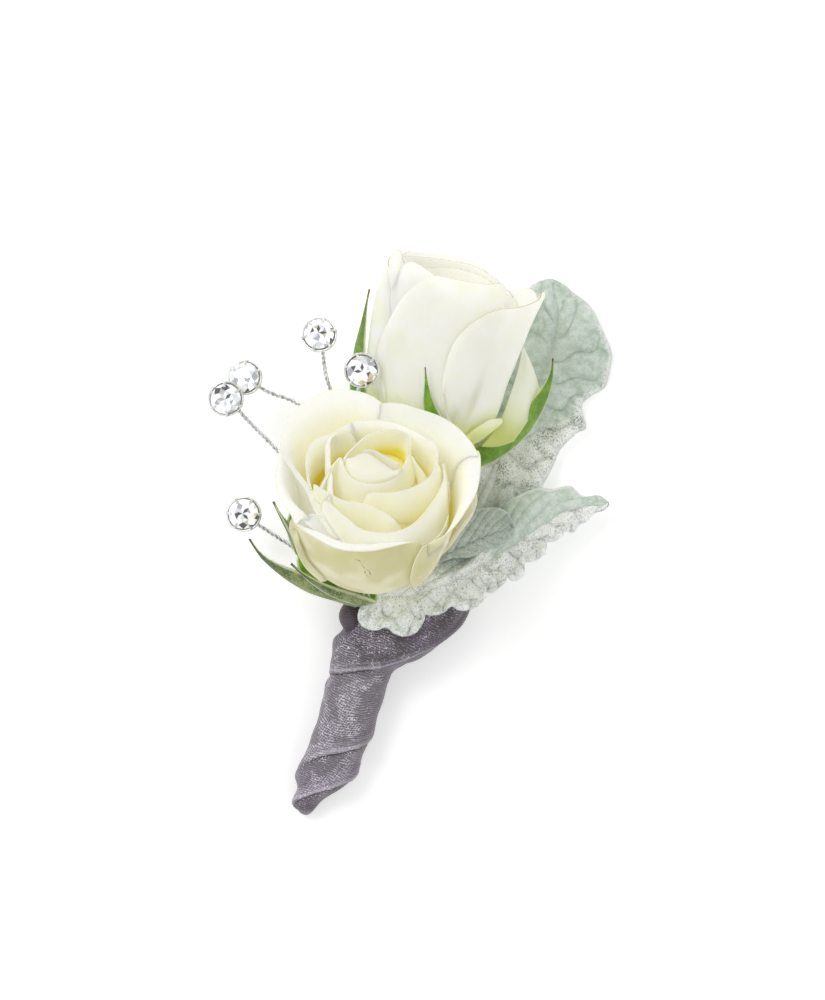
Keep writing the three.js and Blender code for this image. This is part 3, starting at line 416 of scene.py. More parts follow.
# Outlines run from the left end over the rim to the right end, curves from the root to the rim. Each
# place is X and Y as seen from above and the height above the calyx, or where a petal isn't seen, the
# angle in degrees, the radius and the height. Near gives X, Y and the radius of places on the near
# side. Layer is the share of the bowl's radius that the petal keeps to below its rim; the shoulder is
# where it heads for before the rim: out and down from it. Yellow is how far below the rim the skin
# turns fully yellow, warm how yellow it is all over, outside how weathered and green how green.
front_petals = [
    # back left
    dict(layer=0.84, shoulder=(-2.8, 4.5), yellow=24, outline=[
        [-12.6, -1.4, 23], [-14.6, -0.9, 26], [-16.2, 0.2, 28], [-17.2, 1.6, 28.8], [-18.2, 3.2, 29.2],
        [-19.3, 5, 29.6], [-20.7, 8.4, 30.5], [-22.5, 11, 31.5],
        [-24.3, 13.6, 32.3], [-25.8, 16.2, 33], [-25.9, 19, 33],
        [-24.9, 22.6, 33.5], [-21.9, 25.9, 34], [-16.7, 28.6, 34.5], [-11.3, 28.6, 34.5],
        [-6.7, 26.8, 34], [-3.5, 23, 28], [-3, 18, 18],
    ]),
    # back right
    dict(layer=0.78, shoulder=(-3, 5), yellow=22, outside=0.7, outline=[
        [-10.5, 18, 18], [-9.5, 23.5, 28], [-6.3, 25.8, 33], [-2.3, 26, 33.5], [1.7, 24.8, 34],
        [7.1, 22.6, 34], [10.7, 19.6, 34], [12.9, 16.4, 33], [13.3, 13.6, 30], [11.5, 9, 20],
    ]),
    # right, broadly rolled out
    dict(layer=(1, 0.84), shoulder=((0.4, -4.5), (6, 2.5)), yellow=14, outside=1, outline=[
        [3.8, -2.6, 24], [3.3, -2, 30], [4.5, -1.3, 31.4], [6.9, 0.2, 31.7], [10.6, 4.6, 32],
        [12.9, 8.4, 32.5], [13.7, 13, 33], [13.2, 16.6, 31], [11.2, 14, 22],
    ]),
    # the near end of the right one, hanging down outside the bowl
    dict(seen=False, outside=1, curves=[
        [[302, 15.8, 11.8], [309, 15.4, 11.2], [318, 14.6, 11.8], [332, 13.4, 13.5]],
        [[297, 17.4, 15.4], [308, 17, 15], [320, 16.1, 15], [335, 14.8, 16]],
        [[293, 18.6, 20.6], [306, 18.3, 20], [320, 17.2, 20], [335, 15.6, 20]],
        [[294, 19, 26.5], [306, 18.7, 25.5], [320, 17.4, 25], [335, 15.8, 25]],
        [[299, 18.8, 30.4], [306, 18.5, 30], [318, 17.6, 29.6], [332, 16.2, 29]],
    ]),
    # left, flaring out over the bowl and torn at its near end
    dict(layer=0.9, shoulder=((-1.2, -3.4, -4.2), (3, 2.2, 1.2)), yellow=34, ripple=0.1, outline=[
        [-22.5, 16, 20], [-25.6, 17.4, 30], [-26.5, 14.4, 31.6], [-26.9, 11.4, 31.8], [-26.7, 9.4, 31.6],
        [-26.1, 7.4, 31.4], [-24.8, 5.2, 31], [-23.8, 3.9, 30.6], [-23.2, 2.6, 30], [-22.6, 1.9, 29.8],
        [-22, 2.8, 29.8], [-21.1, 2.4, 29.2], [-19.4, 0.8, 27.8], [-17.4, -0.5, 26.6], [-14.6, -1.8, 25.4],
        [-12, -2.2, 23],
    ]),
    # left, outermost: it clings to the bowl and shows as a line down its side
    dict(layer=(1.06, 1), shoulder=(0.3, 3), outside=1, green=0.25, ripple=0, near=[
        [-17.4, -8.5, 16.6], [-18.2, -7.8, 17.1], [-20.6, -5.2, 18], [-22, -2, 18.6], [-22.6, 0, 18.4],
    ], outline=[[-23.1, 2.4, 21], [-23.2, 5, 16], [-22.4, 8, 12]]),
    # front, with a broad lip
    dict(layer=0.98, shoulder=(0.9, 5), lip=2.4, yellow=16, outside=1, outline=[
        [-23.5, 3.6, 17], [-22.7, 3.2, 23], [-21.6, 2.9, 26.6], [-19.9, 2.3, 29.2], [-17.3, 1.3, 31.2],
        [-13.7, -0.3, 32.2], [-8.5, -0.8, 32.3], [-4.5, -0.5, 32], [-1.5, -0.4, 31.4], [1.2, -1, 30.4],
        [3.4, -4, 22],
    ]),
    # tip of a petal that shows behind the right one
    dict(layer=0.98, shoulder=(-1, 4), outside=0.9, outline=[
        [12, 9, 22], [13, 7.4, 27], [12.3, 4.6, 28], [10.5, 2.6, 27.5], [8.4, 0.4, 22],
    ]),
    # second ring, left
    dict(layer=0.72, shoulder=(-0.6, 4), yellow=12, outline=[
        [-18.5, 5, 22], [-19.9, 9.2, 30], [-20.7, 12.4, 33], [-20.9, 14.8, 33.5], [-20.1, 17.4, 34],
        [-18.3, 19, 34], [-15.5, 20.2, 34.3], [-11.7, 22, 34.3], [-9.5, 19, 28],
    ]),
    # second ring, back
    dict(layer=0.66, shoulder=(-0.6, 4), yellow=11, outline=[
        [-13, 17, 27], [-12.3, 21.6, 34], [-8.3, 22.6, 35], [-3.9, 22.2, 35], [-0.3, 20.8, 35],
        [2.9, 19.2, 34.7], [5.1, 17.4, 34.2], [5.3, 13.4, 30], [4.4, 10, 24],
    ]),
    # second ring, the front cup
    dict(layer=0.84, shoulder=(0.9, 8), yellow=22, warm=0.2, outline=[
        [-18.5, 4, 22], [-16.9, 6.6, 31.4], [-13.3, 3.8, 32.4], [-10.3, 1.4, 33], [-7.7, 0.6, 33],
        [-2.3, 0.8, 33], [0.7, 2.4, 33], [3.3, 5.2, 33], [5.5, 8.6, 33.5], [6.6, 11.6, 34],
        [6.3, 14, 34.5], [7.4, 10, 26],
    ]),
    # third ring, from the left across the front
    dict(layer=(0.6, 0.7), shoulder=((-1.2, 1.2), 7), yellow=14, warm=0.2, outline=[
        [-17.6, 7.4, 24], [-19.3, 9.9, 33], [-16.3, 8.2, 33], [-13.7, 6.8, 33.5], [-10.5, 6.2, 34],
        [-7.1, 5.2, 33.6], [-3.7, 3.2, 32.5], [-1.5, 0, 25],
    ]),
    # third ring, front right
    dict(layer=0.6, shoulder=(1.2, 6), yellow=13, warm=0.2, outline=[
        [-10, 4, 27], [-8.7, 7.8, 33.5], [-5.7, 8.3, 34], [-2.1, 8.5, 34.5], [1.1, 9.7, 35],
        [3.9, 11.8, 35], [4.8, 14.6, 35], [4.6, 12, 27],
    ]),
    # third ring, left
    dict(layer=0.5, shoulder=(0.6, 3.5), yellow=9, outline=[
        [-15.2, 6.5, 28], [-15.5, 8, 33], [-15.7, 11.8, 34], [-16.1, 15.8, 34.5], [-15.7, 19.2, 35],
        [-12.5, 20.4, 35], [-10.5, 17, 29],
    ]),
    # round the front of the heart
    dict(layer=0.52, shoulder=(1.2, 5), yellow=12, warm=0.2, outline=[
        [-17.7, 7.4, 28], [-17, 10.4, 32.5], [-15.5, 13.2, 34.8], [-14, 15.2, 35.4], [-13.2, 13.2, 35],
        [-12, 11.3, 34.8], [-9.3, 10.2, 34.8], [-6.2, 10.1, 34.8], [-3.6, 11, 34.8], [-1.7, 13.2, 35],
        [-0.5, 15.8, 35.4], [1.1, 13.9, 34.6], [2.8, 11.4, 32], [3.2, 8, 27],
    ]),
    # heart, back
    dict(layer=0.42, shoulder=(0.6, 3), yellow=7, outline=[
        [-13, 11, 29], [-13.3, 14.2, 34.5], [-11.2, 17.4, 35], [-8.7, 19.5, 35.5], [-5.5, 20.6, 35.5],
        [-1.5, 20.2, 35.5], [-0.6, 17.6, 35], [-0.8, 14.2, 29],
    ]),
    # heart, furled over at the front
    dict(yellow=14, warm=0.25, curves=[
        [[-9.6, 4.8, 18], [-9.2, 3.2, 18], [-8, 2.8, 18], [-6.6, 2.9, 18], [-5.9, 3.8, 18], [-5.7, 4.9, 18]],
        [[-13, 11.4, 28], [-12.2, 9, 28], [-10, 7.4, 28], [-7, 7, 28], [-4, 7.8, 28], [-2, 10, 28]],
        [[-13.1, 14.9, 33.2], [-12.7, 12.3, 33.6], [-10.4, 10.6, 34], [-7, 10.2, 34], [-3.9, 11, 33.8],
         [-1.9, 12.9, 33.2]],
        [[-12.7, 15, 34.8], [-11.7, 13.5, 35.5], [-9.4, 12.9, 36], [-7, 12.5, 36.1], [-5, 12.1, 35.8],
         [-2.9, 12, 35.2], [-1.9, 13, 34.5]],
        [[-11.7, 15.1, 35.4], [-10.3, 15.8, 36], [-8.7, 16, 36.2], [-7, 15, 36.2], [-5.3, 13.7, 36],
         [-3.6, 12.7, 35.7], [-2.4, 13, 35]],
    ]),
    # heart, the inner strip
    dict(yellow=8, curves=[
        [[-10, 6.2, 18], [-8.5, 5.6, 18], [-6.8, 4.8, 18], [-5.4, 3.8, 18]],
        [[-10.2, 12, 28], [-7.8, 11.6, 28], [-5.2, 10, 28], [-2.8, 9.2, 28]],
        [[-10, 15.4, 33.4], [-7.4, 15.2, 33.8], [-5.2, 13.8, 33.8], [-2.6, 12.6, 33.4]],
        [[-9.6, 16.7, 35.8], [-7.4, 16.6, 36.6], [-5, 15.3, 36.6], [-2.4, 13.9, 35.8]],
    ]),
]


def scratch(finish, start, end):
    """1 along a fine broken scratch between two places seen from above, 0 elsewhere."""
    start, step = np.array(start), np.subtract(end, start)
    length = np.linalg.norm(step)
    x, y = (1000 * finish.node("SeparateXYZ", {}, {0: finish.place()}, axis) for axis in "XY")
    along = lambda way: float(way[0]) * x + float(way[1]) * y - float(way @ start)
    run = along(step / length)
    off = along(np.array([-step[1], step[0]]) / length) + 1.6 * (finish.noise(2.2, 2) - 0.5)
    line, broken = 1 - off.maths("ABSOLUTE").held(0.04, 0.17), finish.noise(0.7, 1).held(0.38, 0.52)
    return line * run.held(0, 0.5) * (1 - run.held(length - 0.8, length)) * broken


def petal_finish(name, rim, face, cleft, pocket, weathered, foot, rim_line, scratches=()):
    """Petal skin: pale at the rim, yellow in the clefts, weathered outside, finely veined."""
    # The skin also glows faintly in its own colour: painted light that stands in for light shining through the
    # thin petals.
    finish = Finish(
        name, Subsurface_Weight=0.6, Subsurface_Scale=0.003, Subsurface_Radius=(1.0, 0.96, 0.7),
        Specular_IOR_Level=0.25, Emission_Strength=0.1,
    )
    cloud, tone, outside = finish.noise(5, 3), finish.noise(8, 1), finish.read("outside")
    deep = finish.read("cleft") + 0.25 * (cloud - 0.5)
    skin = finish.coats(
        rim, (deep.held(0.0, 0.45), face), (deep.held(0.66, 1.15), cleft), (deep.held(1.15, 1.7), pocket),
        (outside * (0.8 + 0.4 * cloud), weathered), (outside * 0.2 * tone.held(0.5, 0.68), foot),
        (outside * 0.35 * (1 - tone.held(0.34, 0.5)), face),
        *((0.75 * outside * scratch(finish, *ends), colour(128, 96, 52)) for ends in scratches),
        (finish.read("green") * (0.35 + 0.3 * cloud), foot),
        ((finish.read("foot") + 0.4 * (cloud - 0.5)).held(0.1, 1.1), foot),
        (finish.read("rim") * (0.25 + cloud), rim_line),
    )
    veins = finish.streaks(finish.read("across") * 3, finish.read("down"), 2, 3)
    return finish.done(
        Base_Color=skin, Emission_Color=skin, Roughness=0.5 + 0.2 * cloud,
        Normal=finish.relief(veins + 0.4 * finish.noise(0.6, 2), 0.08),
    )


cream_petal = petal_finish(
    "cream_petal", colour(245, 245, 238), colour(251, 249, 224), colour(238, 222, 84), colour(234, 184, 50),
    colour(203, 197, 156), colour(172, 178, 96), colour(226, 222, 180),
    scratches=[((-10.9, -4.4), (-7.8, -8.4)), ((-9.6, -7.1), (-8.3, -8.6))],
)
heap = Heap()
for number, petal in enumerate(front_petals):
    add_petal(heap, front, {"seen": True, **petal}, number)
heap.add(*turned_body(front, front_core), down=1, cleft=0.9)
heap.piece("front_rose_bloom", cream_petal, "cream_petal", "front_rose_petals")

# Rear rose: half open, on its side, its top towards the top of the picture. Its broad front petal
# wraps the bud, the right one is turned out at its far corner, a guard petal stands off at the right.
rear = Bloom(
    [2.8, 16.6, 10.5],
    [0.199, 0.931, 0.305],
    [[0, 3], [2, 6.2], [4.7, 9.4], [8, 11.4], [11, 12.5], [16, 13.1], [27, 13.5], [44, 14.2]],
    foot=(4, 20),
)
rear_core = [[0, 0], [2.8, 0], [5.4, 2], [7, 5], [8, 10], [8.4, 18], [7.4, 25], [4, 30], [0, 31.5]]
# The same for this rose. Its places are mostly not as seen, and an angle of -90 faces up, 0 right.
rear_petals = [
    # the broad front petal
    dict(layer=0.98, outside=1, outline=[
        [-178, 12.4, 11], [-175, 13.8, 19.5], [-158, 14.4, 25.6], [-146, 14.5, 31.5], [-134, 14.6, 36.1],
        [-118, 14.6, 40.1], [-96, 14.6, 40.8], [-76, 14.6, 40.9], [-57, 14.5, 40.7], [-54, 14, 33],
        [-50, 12, 17],
    ]),
    # right, its far corner turned out
    dict(layer=1, outside=1, shoulder=((0, 0, -0.4, -1.6, -2.4), (4, 4, 5, 6, 6)), near=[
        [9.4, 20.6, 11], [7.7, 23.6, 12.4], [6.9, 27.4, 13.3], [6.7, 31.2, 13.8], [7.3, 35, 14.3],
        [8.6, 38.2, 14.8], [11, 41, 15], [14.3, 43.3, 15.2], [17.5, 44.6, 15.5], [20.9, 45, 16.2],
        [23.6, 45.8, 16.8], [25.4, 46.9, 17.2], [26.2, 48.4, 16.9],
    ], outline=[[10, 16.6, 34.9], [20, 15.7, 35.9], [42, 15.2, 34], [58, 14.6, 28], [54, 12, 12]]),
    # left, bulging out from under the front one
    dict(layer=(0.9, 1.35), shoulder=(0.9, 8), outside=1, outline=[
        [-144, 11, 10], [-148, 12, 20], [-157, 12.8, 30], [-168, 14.2, 34.6], [-180, 15, 36.6],
        [-192, 15.4, 37.2], [-206, 15.4, 36.6], [-220, 15, 31], [-226, 13.8, 17],
    ]),
    # underneath
    dict(layer=1, outline=[
        [46, 12, 12], [44, 14, 24], [52, 14.6, 32], [66, 14.8, 35], [86, 14.8, 36.9], [118, 14.8, 36.8],
        [143, 14.8, 37.3], [156, 14.6, 33], [150, 13.4, 22], [140, 12, 12],
    ]),
    # behind the front petal, at its left shoulder
    dict(layer=0.9, outline=[
        [-172, 12, 20], [-166, 13.6, 32], [-156, 14, 38], [-144, 13.9, 40.8], [-132, 13.5, 40.8],
        [-117, 13.2, 39.8], [-106, 12.8, 37], [-104, 12, 26],
    ]),
    # the narrow fold at the upper left
    dict(layer=0.86, outline=[
        [-166, 11.6, 24], [-172, 13.6, 34], [-172, 14.8, 39.6], [-164, 14.9, 41.6], [-156, 14.4, 41],
        [-154, 13.2, 35], [-152, 11.8, 26],
    ]),
    # second ring, back
    dict(layer=0.8, outline=[
        [24, 11, 22], [22, 12.4, 32], [46, 12.6, 34.6], [78, 12.6, 36.4], [110, 12.6, 36.6],
        [140, 12.6, 37.2], [168, 12.6, 38], [182, 11.6, 36], [184, 10.6, 25],
    ]),
    # second ring, front
    dict(layer=0.74, outline=[
        [-188, 10, 24], [-182, 11.2, 34], [-160, 11.6, 37.6], [-120, 11.4, 39], [-80, 11.4, 39],
        [-40, 11.6, 37.6], [-14, 11.6, 34], [-8, 10.4, 24],
    ]),
    # third ring, back
    dict(layer=0.56, outline=[
        [-20, 7.4, 24], [-4, 8.6, 33], [30, 9, 35], [75, 9.2, 36], [120, 9.2, 36], [160, 8.8, 35],
        [178, 7.6, 26],
    ]),
    # the folded heart
    dict(layer=0.36, outline=[
        [-210, 5, 26], [-190, 5.8, 33.6], [-140, 6, 35.6], [-90, 6, 36], [-40, 6, 35.4], [0, 5.8, 33],
        [14, 5, 26],
    ]),
    # a guard petal standing off at the right
    dict(seen=True, outside=1, green=0.5, curves=[
        [[14, 17.6, 4.4], [17, 17.6, 4.6], [20.5, 18.6, 6]],
        [[17.4, 22, 9.3], [20.6, 22.2, 10.1], [23.6, 23.2, 11]],
        [[19.7, 27.8, 15.6], [22.8, 27.6, 15.9], [25.6, 28, 15.6]],
        [[21.3, 32.8, 20.9], [23.1, 32.6, 21], [24.6, 32.4, 20.4]],
        [[22.2, 37.2, 25.3], [22.35, 37.4, 25.5], [22.5, 37.2, 25.3]],
    ]),
    # a short guard petal round the foot
    dict(layer=1.06, outside=1, green=0.1, ripple=0, shoulder=(0, 3), near=[
        [7, 15.8, 9.4], [9, 18.2, 10.8], [11.6, 20.3, 12.4], [14, 21.9, 13.6], [16.2, 23, 13.9],
        [18.4, 23.2, 13.4], [19.6, 20.8, 12.4],
    ]),
]
ivory_petal = petal_finish(
    "ivory_petal", colour(245, 244, 234), colour(240, 240, 218), colour(230, 230, 160), colour(222, 206, 110),
    colour(250, 250, 236), colour(204, 214, 122), colour(170, 156, 116),
)
heap = Heap()
for number, petal in enumerate(rear_petals, 40):
    add_petal(heap, rear, {"yellow": 46, **petal}, number)
heap.add(*turned_body(rear, rear_core), down=1, cleft=0.8)
heap.piece("rear_rose_bloom", ivory_petal, "ivory_petal", "rear_rose_petals")

# Hips, sepals and stems: each rose's green parts grew as one piece. The sepals are narrow, downy
# outside and at their pale edges, bright green inside; the stems run into the taped handle.
STEM_R = 1.25
SEPAL = 0.7
SEPAL_RIM = 0.25
HIP = [[0, -6.2], [STEM_R, -6.2], [2.3, -4.6], [3.2, -3], [3.3, -1.6], [4.4, -1], [3, -0.4], [0, -0.3]]
# The down at a sepal's edges, as add_hairs takes it
DOWN = dict(each=260, length=0.5, stray=0.5, width=0.03, rooted=0.15, inward=1)


def spline(points, steps):
    """A smooth curve through given points, read at even steps of its length."""
    path = row_curve(points, np.linspace(0, 1, 400))
    length = lengths(path)
    t = np.linspace(0, 1, steps) * length[-1]
    return np.stack([np.interp(t, length, path[:, k]) for k in range(3)], 1)


def tube(path, radius, sides=14):
    """A round body along a path."""
    tangent = unit(np.gradient(path, axis=0))
    side = np.cross(tangent[0], [0.31, 0.2, 0.93])
    frames = []
    for t in tangent:
        side = unit(side - t * side.dot(t))
        frames.append([side, np.cross(t, side)])
    frames = np.array(frames)
    angles = round_steps(sides)[None, :, None]
    radius = np.broadcast_to(np.asarray(radius, float), len(path))[:, None, None]
    across = np.cos(angles) * frames[:, :1] + np.sin(angles) * frames[:, 1:]
    return round_body(path[:, None] + radius * across)


def add_hairs(heap, grid, random, each, length, stray, width, rooted, inward, **values):
    """Adds short fine hairs that stand out from both edges of a blade, none of them below the table."""
    for edge, inner in ((grid[:, 0], grid[:, inward]), (grid[:, -1], grid[:, -1 - inward])):
        at = random.uniform(0, len(edge) - 1.01, each)
        i = at.astype(int)
        f = (at - i)[:, None]
        base = edge[i] * (1 - f) + edge[i + 1] * f
        out = unit(base - (inner[i] * (1 - f) + inner[i + 1] * f))
        out = unit(out + random.normal(0, stray, out.shape))
        across = width * unit(np.cross(out, random.normal(size=out.shape)))
        third = 0.9 * np.cross(out, across)
        tip = base + out * random.uniform(0.4, 1, each)[:, None] * length
        tip[:, 2] = np.maximum(tip[:, 2], 0.05)
        root = base - out * rooted
        corners = np.stack([root + across, root - across * 0.5 + third, root - across * 0.5 - third, tip], 1)
        start = np.arange(each)[:, None] * 4
        faces = np.concatenate([start + corner for corner in ([0, 1, 3], [1, 2, 3], [2, 0, 3], [2, 1, 0])])
        heap.add(corners.reshape(-1, 3), faces, **values)


def sepal(bloom, degrees, points, facing, width, cup, fresh=0.0):
    """A sepal that leaves the hip at an angle; facing is the way its inner face looks."""
    hip = [bloom.place(math.radians(degrees), *place) for place in ((2.4, -1.7), (5, -1))]
    return dict(points=[*hip, *points], facing=facing, width=width, cup=cup, fresh=fresh)


def hidden_sepal(bloom, degrees, places, lean, width):
    """A sepal out of sight from above, through places given as radius and height."""
    points = [bloom.place(math.radians(degrees), *place) for place in places]
    out = bloom.place(math.radians(degrees), 1, 0) - bloom.origin
    return sepal(bloom, degrees, points, bloom.up - lean * out, width, 0.1)


def add_sepal(heap, random, number, points, facing, width, cup, fresh, across=10, up=56):
    """Adds a narrow pointed blade along a midline, with down at its edges."""
    u = np.linspace(-1, 1, across + 1)[None, :, None]
    v = np.linspace(0, 1, up + 1)
    centre = spline(points, up + 1)
    tangent = unit(np.gradient(centre, axis=0))
    side = unit(np.cross(tangent, unit(facing)))
    taper = np.where(v < 0.4, 0.75 + 0.25 * smooth(0, 0.4, v), 1 - 0.98 * smooth(0.4, 1, v) ** 1.7)
    half = (width * taper)[:, None, None]
    bend = (cup * u + 0.12 * np.sin(9 * v + number)[:, None, None]) * u * half
    grid = centre[:, None] + u * half * side[:, None] + bend * np.cross(side, tangent)[:, None]
    edge = 1 - np.abs(u[..., 0]) * np.ones((up + 1, 1))
    thickness = SEPAL_RIM + (SEPAL - SEPAL_RIM) * smooth(0, 0.5, edge) * (1 - 0.5 * v[:, None])
    vertices, faces, face_side = blade(grid, thickness)
    rim = both_sides(1 - smooth(0, 0.34, edge), grid)
    heap.add(vertices, faces, inner=np.maximum(face_side, fresh), edge=rim, tip=both_sides(v[:, None], grid))
    add_hairs(heap, grid, random, **DOWN, edge=1, tip=0.5)


finish = Finish("rose_green", Roughness=0.55, Subsurface_Weight=0.1, Subsurface_Scale=0.002, Sheen_Weight=0.2)
cloud, inner, tip = finish.noise(2.5, 3), finish.read("inner"), finish.read("tip")
skin = finish.coats(
    colour(86, 108, 40), (cloud.held(0.35, 0.65), colour(138, 152, 92)),
    (finish.noise(0.28, 2).held(0.5, 0.66) * 0.6, colour(200, 208, 170)),
    (inner, finish.coats(colour(92, 146, 10), (cloud.held(0.3, 0.7), colour(134, 182, 32)))),
    (tip.held(0.55, 0.85) * (1 - inner) * 0.7, colour(62, 86, 32)),
    (finish.read("edge").held(0.1, 0.7) * (0.5 + 0.6 * finish.noise(0.5, 2)), colour(224, 232, 196)),
    (tip.held(0.94, 1.0), colour(92, 44, 34)),
    (finish.read("stalk"), finish.coats(colour(84, 128, 30), (cloud.held(0.35, 0.65), colour(112, 150, 52)))),
)
green_finish = finish.done(Base_Color=skin, Normal=finish.relief(finish.noise(0.35, 2), 0.12))


def along_bowl(length):
    """Places close to the outside of the front bloom's bowl, up to a length."""
    heights = [length * t * t for t in (0.45, 0.7, 1)]
    return [(max(7, front.bowl_radius(h) + 1.65), h - 1.2) for h in heights]


bent_back = [(6.4, -2.6), (6.6, -5.6), (5.8, -9)]
front_sepals = [
    sepal(front, -120, [
        [-10.4, -13.8, 17], [-15.6, -12.4, 18.2], [-20.6, -10.6, 18.9], [-25.4, -8.1, 18.4],
        [-29.6, -4.9, 17], [-32.5, -1, 16],
    ], [0.1, 0.65, -0.7], 2.1, 0.5),
    sepal(front, -92, [
        [-9.2, -14, 18], [-12.6, -13.3, 19.6], [-16.4, -11.7, 21], [-20.4, -9.1, 21.5], [-24.1, -5.9, 21],
    ], [0.25, 0.75, -0.4], 1.7, 0.6),
    sepal(front, -96, [
        [-8.6, -13, 16.8], [-13, -12.1, 18.4], [-17.8, -9.6, 19.4], [-21.6, -6.3, 19.8], [-21, -2, 20],
        [-18.6, 2, 20.4],
    ], [0.2, 0.4, 0.9], 1.9, 0.2, fresh=1),
    sepal(front, -168, [
        [-19.4, -4.8, 14.6], [-23.2, -1.8, 18], [-25.1, 1.4, 20.8], [-26.4, 4, 22.2], [-27.6, 6.5, 23.1],
    ], [0.75, 0.1, 0.1], 2.3, 0.6),
    sepal(front, -160, [
        [-20.6, -4.2, 15], [-22.8, -1.4, 18], [-23.8, 1.6, 19.6], [-23.4, 5, 20.2], [-21, 9.5, 20],
    ], [0.3, 0.1, 0.9], 1.8, 0.2, fresh=1),
    hidden_sepal(front, 32, along_bowl(7), 0.6, 2.2),
    hidden_sepal(front, 108, along_bowl(8), 0.6, 2.2),
]
front_stem = [
    [-8.98, -8.86, 8.4], [-9.2, -11.6, 6.3], [-9.5, -16, 5], [-10.2, -22, 5.3], [-11.6, -29.2, 5.6],
    [-14.4, -38.5, 5.5],
]
rear_sepals = [
    sepal(rear, -20, [
        [10, 14.4, 10.2], [15.8, 16.2, 11], [21.6, 20.4, 12], [25.8, 26.4, 14], [27.8, 31, 15.4],
        [28.3, 35.2, 16.6],
    ], [-0.4, 0.35, -0.9], 2.7, 0.4, fresh=0.8),
    sepal(rear, 190, [
        [-7.6, 19.8, 11.6], [-10.8, 28, 12.6], [-10.7, 36, 15.4], [-9.6, 42.6, 18], [-8.4, 49, 19.4],
    ], [0.6, -0.1, -0.8], 2.1, 0.3, fresh=0.6),
    sepal(rear, -62, [
        [6.7, 14.6, 17.4], [6.6, 18.2, 24], [4.6, 22.6, 27.6], [3.3, 26.6, 29], [2.7, 33.2, 31],
    ], [-0.1, 0.3, -0.9], 2.0, 0.3, fresh=0.9),
    hidden_sepal(rear, 54, bent_back, -0.8, 1.9),
    hidden_sepal(rear, 126, bent_back, -0.8, 1.9),
]
rear_stem = [
    [1.57, 10.83, 8.6], [0.8, 6, 7.2], [-1.2, -2, 6.2], [-3.6, -11, 5.4], [-6.2, -20, 5.4],
    [-8.6, -29.2, 5.6], [-11.6, -38.5, 5.5],
]
roses = {"front": (front, front_stem, front_sepals), "rear": (rear, rear_stem, rear_sepals)}
for name, (bloom, stem, sepals) in roses.items():
    heap = Heap()
    heap.add(*turned_body(bloom, HIP), stalk=1)
    heap.add(*tube(spline(stem, 60), STEM_R), stalk=1)
    random = np.random.default_rng(5)
    for number, parts in enumerate(sepals):
        add_sepal(heap, random, number, **parts)
    heap.piece(f"{name}_rose_sepals_and_stem", green_finish, "rose_green", f"{name}_rose_green")

# Felted leaves: broad silver-grey blades with lobed, frilled edges, covered in white down that is
# thick at the edges and thin between the veins, where the green shows through in specks.
LEAF = 0.75
LEAF_RIM = 0.3
STALK_R = 0.8
VEINS = 11
VEIN_DEPTH = 0.25
QUILT_HEIGHT = 0.7
FRILL_LENGTH = 4.6
# The down at a leaf's edges: how far it strays, its thickness, its root's depth and its inner column
WOOL = dict(stray=0.7, width=0.035, rooted=0.2, inward=3)
upper_rib = [
    [9, -2, 1.3], [14, 6, 1.2], [17.6, 14.6, 1.1], [21.6, 22, 1.2], [25.2, 29.4, 1.4], [28.2, 37, 1.7],
    [29.6, 44.6, 2.2], [28.1, 51.2, 3],
]
upper_right = [
    [8.1, -4.2, 3.4], [11.5, -4.4, 3.8], [15.5, -3.4, 4], [18.3, -2.4, 4], [19.7, -0.6, 3.8],
    [20.1, 1.8, 3.4], [19.3, 4.2, 3], [17.7, 5, 2.4], [22.7, 7.6, 3.4], [25.3, 8.4, 3.8],
    [28.1, 12.8, 3], [30.1, 17.2, 3.2], [33.3, 20.4, 3.4], [35.1, 21.6, 3.4], [34.3, 25.8, 2],
    [36.1, 27.8, 1.2], [39.1, 29.8, 0.3], [40.1, 33.8, 0.6], [40.3, 36.8, 1.6], [37.7, 42.8, 2.2],
    [35.7, 46.2, 2.6], [32.7, 48.4, 2.8], [30.7, 50.2, 3], [28.1, 51.2, 3],
]
upper_left = [
    [6, -3, 1], [-1, -2.4, 0.5], [-6, 2, 0.35], [-7.4, 8, 0.35], [-2.4, 11.4, 0.5], [-5, 14.4, 0.4],
    [-8.8, 18, 0.3], [-5.6, 22.4, 0.3], [1.6, 26, 0.5], [6, 29, 0.7], [8.6, 33, 0.5], [9.6, 38.6, 0.3],
    [14.6, 41, 0.6], [18, 44.6, 1.4], [22, 48.2, 2.4], [25.7, 50.8, 3], [28.1, 51.2, 3],
]
upper_stalk = [
    [17.4, 14, 1.1], [14, 6, 1.3], [9.4, -2, 1.6], [4, -10, 2], [-2.8, -20, 2.5], [-8.2, -29, 2.7],
    [-10.8, -37, 2.7],
]
lower_rib = [
    [-7.2, -12.3, 14.1], [-1.6, -12.6, 14.4], [3.7, -11.2, 14.4], [9, -9.2, 13.6], [14.3, -6.2, 12.2],
    [20, -2.6, 10.6], [26, 1.6, 8.8], [32, 5, 7.4], [39.7, 6, 6],
]
